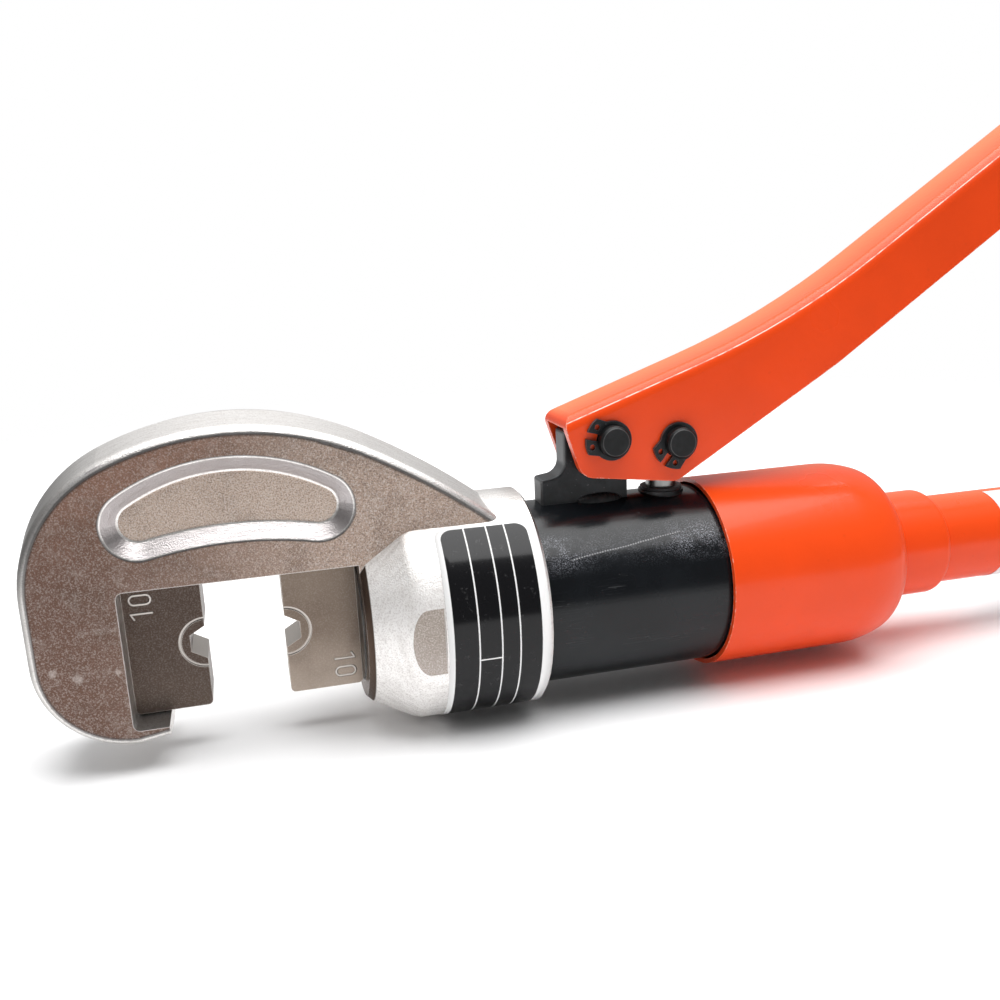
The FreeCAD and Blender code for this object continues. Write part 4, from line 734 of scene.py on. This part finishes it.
# The lever's pins in the side view, and the radius and line of the painted highlight ring on their ends, in
# mm
PINS = ((103.1, 40.3), (121.2, 38.4))
PIN_HIGHLIGHT_RADIUS = 3.45
PIN_HIGHLIGHT_LINE = (0.16, 0.05)
PIN_BLACK = (0.006, 0.0065, 0.007)
PIN_GREY = (0.013, 0.014, 0.015)
PIN_HIGHLIGHT = (0.20, 0.20, 0.20)
WELD_BLACK = (0.010, 0.011, 0.012)
WELD_GREY = (0.024, 0.024, 0.026)


def black_steel():
    """Blackened bracket, clips and plugs: dull oxide with rubbed light edges, and painted light on faces
    turned towards -x.
    """
    look = Look("black_steel", Metallic=0.55)
    ahead, _, _ = look.axes(look.normal)
    grain = look.noise(0.8, 3, 0.6)
    cloud = look.noise(5, 3, 0.55)
    body = look.mix(look.between(cloud, 0.35, 0.7), OXIDE_BLACK, OXIDE_GREY)
    # Painted light: faces turned towards -x are lighter grey
    body = look.cover(body, look.between(ahead, -0.2, -0.8), 0.6, OXIDE_LIT_FRONT)
    body = look.cover(body, look.edge(0.3), 0.22, OXIDE_EDGE)
    body = look.cover(body, look.specks(0.8, 0.06), 0.2, OXIDE_SPECK)
    look.set(Base_Color=body, Roughness=look.spread(cloud, 0.36, 0.52), Normal=look.bump(grain, 0.03))
    return look.material


def pin_steel():
    """Black pins, each with a thin painted highlight line round its end."""
    look = Look("pin_steel", Metallic=0.5)
    x, _, z = look.axes(look.place)
    grain = look.noise(0.5, 3, 0.6)
    cloud = look.noise(3, 3, 0.55)
    ring_highlight = 0.0
    for pin_x, pin_z in PINS:
        far = look.reach(look.less(x, pin_x), look.less(z, pin_z))
        ring_highlight = look.largest(ring_highlight, look.between(look.apart(far, PIN_HIGHLIGHT_RADIUS), *PIN_HIGHLIGHT_LINE))
    body = look.mix(look.between(cloud, 0.35, 0.7), PIN_BLACK, PIN_GREY)
    # Painted highlight: a thin bright ring on each pin's end chamfer
    body = look.cover(body, ring_highlight, look.spread(cloud, 0.1, 0.6), PIN_HIGHLIGHT)
    look.set(Base_Color=body, Roughness=look.spread(cloud, 0.40, 0.55), Normal=look.bump(grain, 0.02))
    return look.material


def weld_steel():
    """Weld bead under black paint: faint stacked ripples along the seam."""
    look = Look("weld_steel", Metallic=0.4)
    wave = look.node("ShaderNodeTexWave", wave_type="BANDS", bands_direction="X")
    look.feed(wave.inputs["Vector"], look.place)
    wave.inputs["Scale"].default_value = 0.28
    wave.inputs["Distortion"].default_value = 2.5
    lumps = look.noise(1.4, 3, 0.6)
    body = look.mix(look.between(lumps, 0.4, 0.7), WELD_BLACK, WELD_GREY)
    ripples = look.bump(wave.outputs["Fac"], 0.08, look.bump(lumps, 0.06))
    look.set(Base_Color=body, Roughness=look.spread(lumps, 0.34, 0.6), Normal=ripples)
    return look.material


# Bare steel: light and dark tone of each

BALL_TONES = ((0.72, 0.715, 0.70), (0.55, 0.545, 0.53))
PLUNGER_TONES = ((0.30, 0.30, 0.29), (0.21, 0.21, 0.205))
SPRING_TONES = ((0.40, 0.39, 0.385), (0.22, 0.215, 0.21))


def bright_steel():
    """Polished balls."""
    look = Look("bright_steel", Metallic=1.0)
    ground = look.noise(1, 2, 0.6, vector=look.stretch(8, 8, 0.18))
    cloud = look.noise(4, 2, 0.5)
    body = look.mix(look.between(cloud, 0.3, 0.7), *BALL_TONES)
    look.set(Base_Color=body, Roughness=look.spread(ground, 0.12, 0.26), Normal=look.bump(ground, 0.006))
    return look.material


def plunger_steel():
    """Ground plunger: grey, with faint rings from its seal."""
    look = Look("plunger_steel", Metallic=1.0)
    rings = look.noise(1, 2, 0.6, vector=look.stretch(6, 6, 0.25))
    cloud = look.noise(3, 2, 0.5)
    body = look.mix(look.between(cloud, 0.3, 0.7), *PLUNGER_TONES)
    look.set(Base_Color=body, Roughness=look.spread(rings, 0.24, 0.38), Normal=look.bump(rings, 0.006))
    return look.material


def spring_steel():
    """Drawn and turned parts inside the tool, lightly stained."""
    look = Look("spring_steel", Metallic=1.0)
    drawn = look.noise(1, 2, 0.6, vector=look.stretch(0.3, 5, 5))
    stain = look.noise(3, 3, 0.6)
    body = look.mix(look.between(stain, 0.35, 0.7), *SPRING_TONES)
    look.set(Base_Color=body, Roughness=look.spread(drawn, 0.28, 0.44), Normal=look.bump(drawn, 0.01))
    return look.material


# Rubber and the tube's label

RUBBER_DUST = (0.12, 0.12, 0.12)
RUBBER_PALER = 1.9
FILM_TONES = ((0.86, 0.84, 0.845), (0.76, 0.74, 0.75))
FILM_SCUFF = (0.55, 0.52, 0.52)


def rubber(name, tone, grain_depth):
    """Matte black rubber with a fine cell grain and a little dust."""
    look = Look(name, Sheen_Weight=0.12, Sheen_Roughness=0.5)
    soft = look.noise(12, 4, 0.55)
    dust = look.noise(1.1, 3, 0.7)
    pale = tuple(part * RUBBER_PALER for part in tone)
    body = look.mix(look.between(soft, 0.35, 0.7), tone, pale)
    body = look.cover(body, look.between(dust, 0.62, 0.8), 0.25, RUBBER_DUST)
    skin = look.bump(look.total(look.cells(0.7), look.product(dust, 0.5)), grain_depth)
    look.set(Base_Color=body, Roughness=look.spread(soft, 0.52, 0.68), Normal=skin)
    return look.material


def pale_film():
    """Bare pale label on the tube, with faint print-paper mottling and a few scuffs."""
    look = Look("pale_film", Coat_Weight=0.3, Coat_Roughness=0.15)
    mottle = look.noise(6, 3, 0.6)
    scuff = look.noise(1.5, 3, 0.7)
    body = look.mix(look.between(mottle, 0.35, 0.7), *FILM_TONES)
    body = look.cover(body, look.between(scuff, 0.66, 0.8), 0.4, FILM_SCUFF)
    look.set(Base_Color=body, Roughness=0.35, Normal=look.bump(scuff, 0.01))
    return look.material


# What each node wears

FIXED_DIE = dict(tint=(0.068, 0.049, 0.040), pale=(0.092, 0.070, 0.058), moving=False)
MOVING_DIE = dict(tint=(0.185, 0.145, 0.115), pale=(0.36, 0.30, 0.25), moving=True)
FINISHES = {
    "forged_steel": forged_steel(),
    "fixed_die_steel": die_steel("fixed_die_steel", **FIXED_DIE),
    "moving_die_steel": die_steel("moving_die_steel", **MOVING_DIE),
    "ram_steel": ram_steel(),
    "barrel_black": barrel_black(),
    "orange_paint": orange_paint(),
    "black_steel": black_steel(),
    "weld_steel": weld_steel(),
    "pin_steel": pin_steel(),
    "bright_steel": bright_steel(),
    "plunger_steel": plunger_steel(),
    "spring_steel": spring_steel(),
    "seal_rubber": rubber("seal_rubber", tone=(0.012, 0.012, 0.013), grain_depth=0.01),
    "grip_rubber": rubber("grip_rubber", tone=(0.014, 0.014, 0.015), grain_depth=0.06),
    "pale_film": pale_film(),
}
# Nodes whose look isn't their slot's. The CAD name_band is hidden by its print
OWN_FINISH = {
    "fixed_die": "fixed_die_steel",
    "moving_die": "moving_die_steel",
    "bracket_welds": "weld_steel",
    "plunger": "plunger_steel",
    "pivot_pin": "pin_steel",
    "plunger_pin": "pin_steel",
    "name_band": "black_steel",
}


def dress():
    """Give every CAD node the finish of its slot, or its own."""
    slots = {part["node"]: part["material_slot"] for part in frame["record"]["subparts"]}
    for name, node in NODES.items():
        node.data.materials.clear()
        node.data.materials.append(FINISHES[OWN_FINISH.get(name, slots[name])])


# The name band: a rounded black panel with a white border, bare apart from its column rules

BAND_X = (54.8, 79.8)
BAND_RADIUS = 28.14
BAND_THICKNESS = 0.13
BAND_ANGLES = (32.5, 165)
BAND_CORNER = 3.0
BAND_STEPS = (10, 96)
BAND_MIDDLE_X = sum(BAND_X) / 2
BAND_HALF_X = (BAND_X[1] - BAND_X[0]) / 2
BAND_MIDDLE_ANGLE = radians(sum(BAND_ANGLES) / 2)
BAND_HALF_AROUND = radians(BAND_ANGLES[1] - BAND_ANGLES[0]) * BAND_RADIUS / 2
# Widths of the white border: front, rear, upper and lower edge
BORDER = (1.4, 2.2, 0.6, 1.2)
RULES = (-5.1, 0.4, 4.9)
RULE_WIDTH = 0.33
RULE_MARGIN = 0.1
PRINT_SOFT = 0.08
CROSS_RULE_ANGLE = 101.6
PRINT_BLACK = (0.006, 0.006, 0.007)
PRINT_WHITE = (0.90, 0.90, 0.895)
PRINT_SCUFF = (0.30, 0.30, 0.30)


def label_film():
    """Black print with a white border and white column rules."""
    look = Look("label_film", Specular_IOR_Level=0.22, Coat_Weight=0.05, Coat_Roughness=0.05)
    along, around, _ = look.axes(look.node("ShaderNodeUVMap", uv_map="print").outputs[0])
    body = look.mix(look.largest(border_print(look, along, around), rules_print(look, along, around)),
                    PRINT_BLACK, PRINT_WHITE)
    scuff = look.product(look.between(look.noise(1.8, 4, 0.7), 0.60, 0.72), 0.10)
    body = look.mix(scuff, body, PRINT_SCUFF)
    look.set(Base_Color=body, Roughness=0.14, Normal=look.bump(look.noise(0.8, 2), 0.003))
    return look.material


def border_print(look, along, around):
    """1 outside the black panel, whose corners are round."""
    front, rear, upper, lower = BORDER
    half_x = BAND_HALF_X - (front + rear) / 2
    half_around = BAND_HALF_AROUND - (upper + lower) / 2
    past_x = look.less(look.apart(along, (front - rear) / 2), half_x - BAND_CORNER)
    past_around = look.less(look.apart(around, (upper - lower) / 2), half_around - BAND_CORNER)
    corner = look.reach(look.largest(past_x, 0), look.largest(past_around, 0))
    within = look.math("MINIMUM", look.largest(past_x, past_around), 0)
    return look.between(look.total(corner, within, -BAND_CORNER), -PRINT_SOFT, PRINT_SOFT)


def rules_print(look, along, around):
    """Three column rules, and the short one across the second column."""
    white = look.largest(*(rule_line(look, along, rule) for rule in RULES))
    cross = (radians(CROSS_RULE_ANGLE) - BAND_MIDDLE_ANGLE) * BAND_RADIUS
    column = look.product(look.between(along, RULES[0] - RULE_MARGIN, RULES[0] + RULE_MARGIN),
                          look.between(along, RULES[1] + RULE_MARGIN, RULES[1] - RULE_MARGIN))
    return look.largest(white, look.product(rule_line(look, around, cross), column))


def rule_line(look, place, rule):
    """1 on the thin printed line at rule."""
    half = RULE_WIDTH / 2
    return look.between(look.apart(place, rule), half + PRINT_SOFT, half - PRINT_SOFT)


def band_row(mesh, around):
    """One row of points across the band: each vertex with its two print coordinates in mm."""
    past = max(0.0, abs(around) - (BAND_HALF_AROUND - BAND_CORNER))
    reach = BAND_HALF_X - BAND_CORNER + (BAND_CORNER ** 2 - min(past, BAND_CORNER) ** 2) ** 0.5
    angle = BAND_MIDDLE_ANGLE + around / BAND_RADIUS
    row = []
    for step in range(BAND_STEPS[0] + 1):
        along = reach * (2 * step / BAND_STEPS[0] - 1)
        place = Vector((BAND_MIDDLE_X + along, -sin(angle) * BAND_RADIUS, cos(angle) * BAND_RADIUS))
        row.append((mesh.verts.new(place * MM), along, around))
    return row


def band_mesh():
    """The band's outer sheet, with the print coordinates as its UV map."""
    mesh = bmesh.new()
    rows = [band_row(mesh, BAND_HALF_AROUND * (2 * step / BAND_STEPS[1] - 1))
            for step in range(BAND_STEPS[1] + 1)]
    layer = mesh.loops.layers.uv.new("print")
    for lower, upper in zip(rows, rows[1:]):
        for step in range(BAND_STEPS[0]):
            corners = (lower[step], upper[step], upper[step + 1], lower[step + 1])
            face = mesh.faces.new([vertex for vertex, _, _ in corners])
            face.smooth = True
            for loop, (_, along, around) in zip(face.loops, corners):
                loop[layer].uv = (along, around)
    mesh.normal_update()
    data = bpy.data.meshes.new("name_band_print")
    mesh.to_mesh(data)
    mesh.free()
    if data.polygons[0].normal.dot(data.vertices[data.polygons[0].vertices[0]].co) < 0:
        data.flip_normals()
    return data


def name_band():
    """A curved sheet with rounded corners, in the place of the CAD band."""
    data = band_mesh()
    data.materials.append(label_film())
    band = add_object("name_band_print", data)
    solid = band.modifiers.new("thickness", "SOLIDIFY")
    solid.thickness = BAND_THICKNESS * MM
    solid.offset = 1
    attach(band, "tool_body")
    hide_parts("name_band")


make_camera()
make_world()
make_light("key_light", **KEY_LIGHT)
bpy.context.scene.view_settings.view_transform = "Standard"
dress()
name_band()
make_floor()
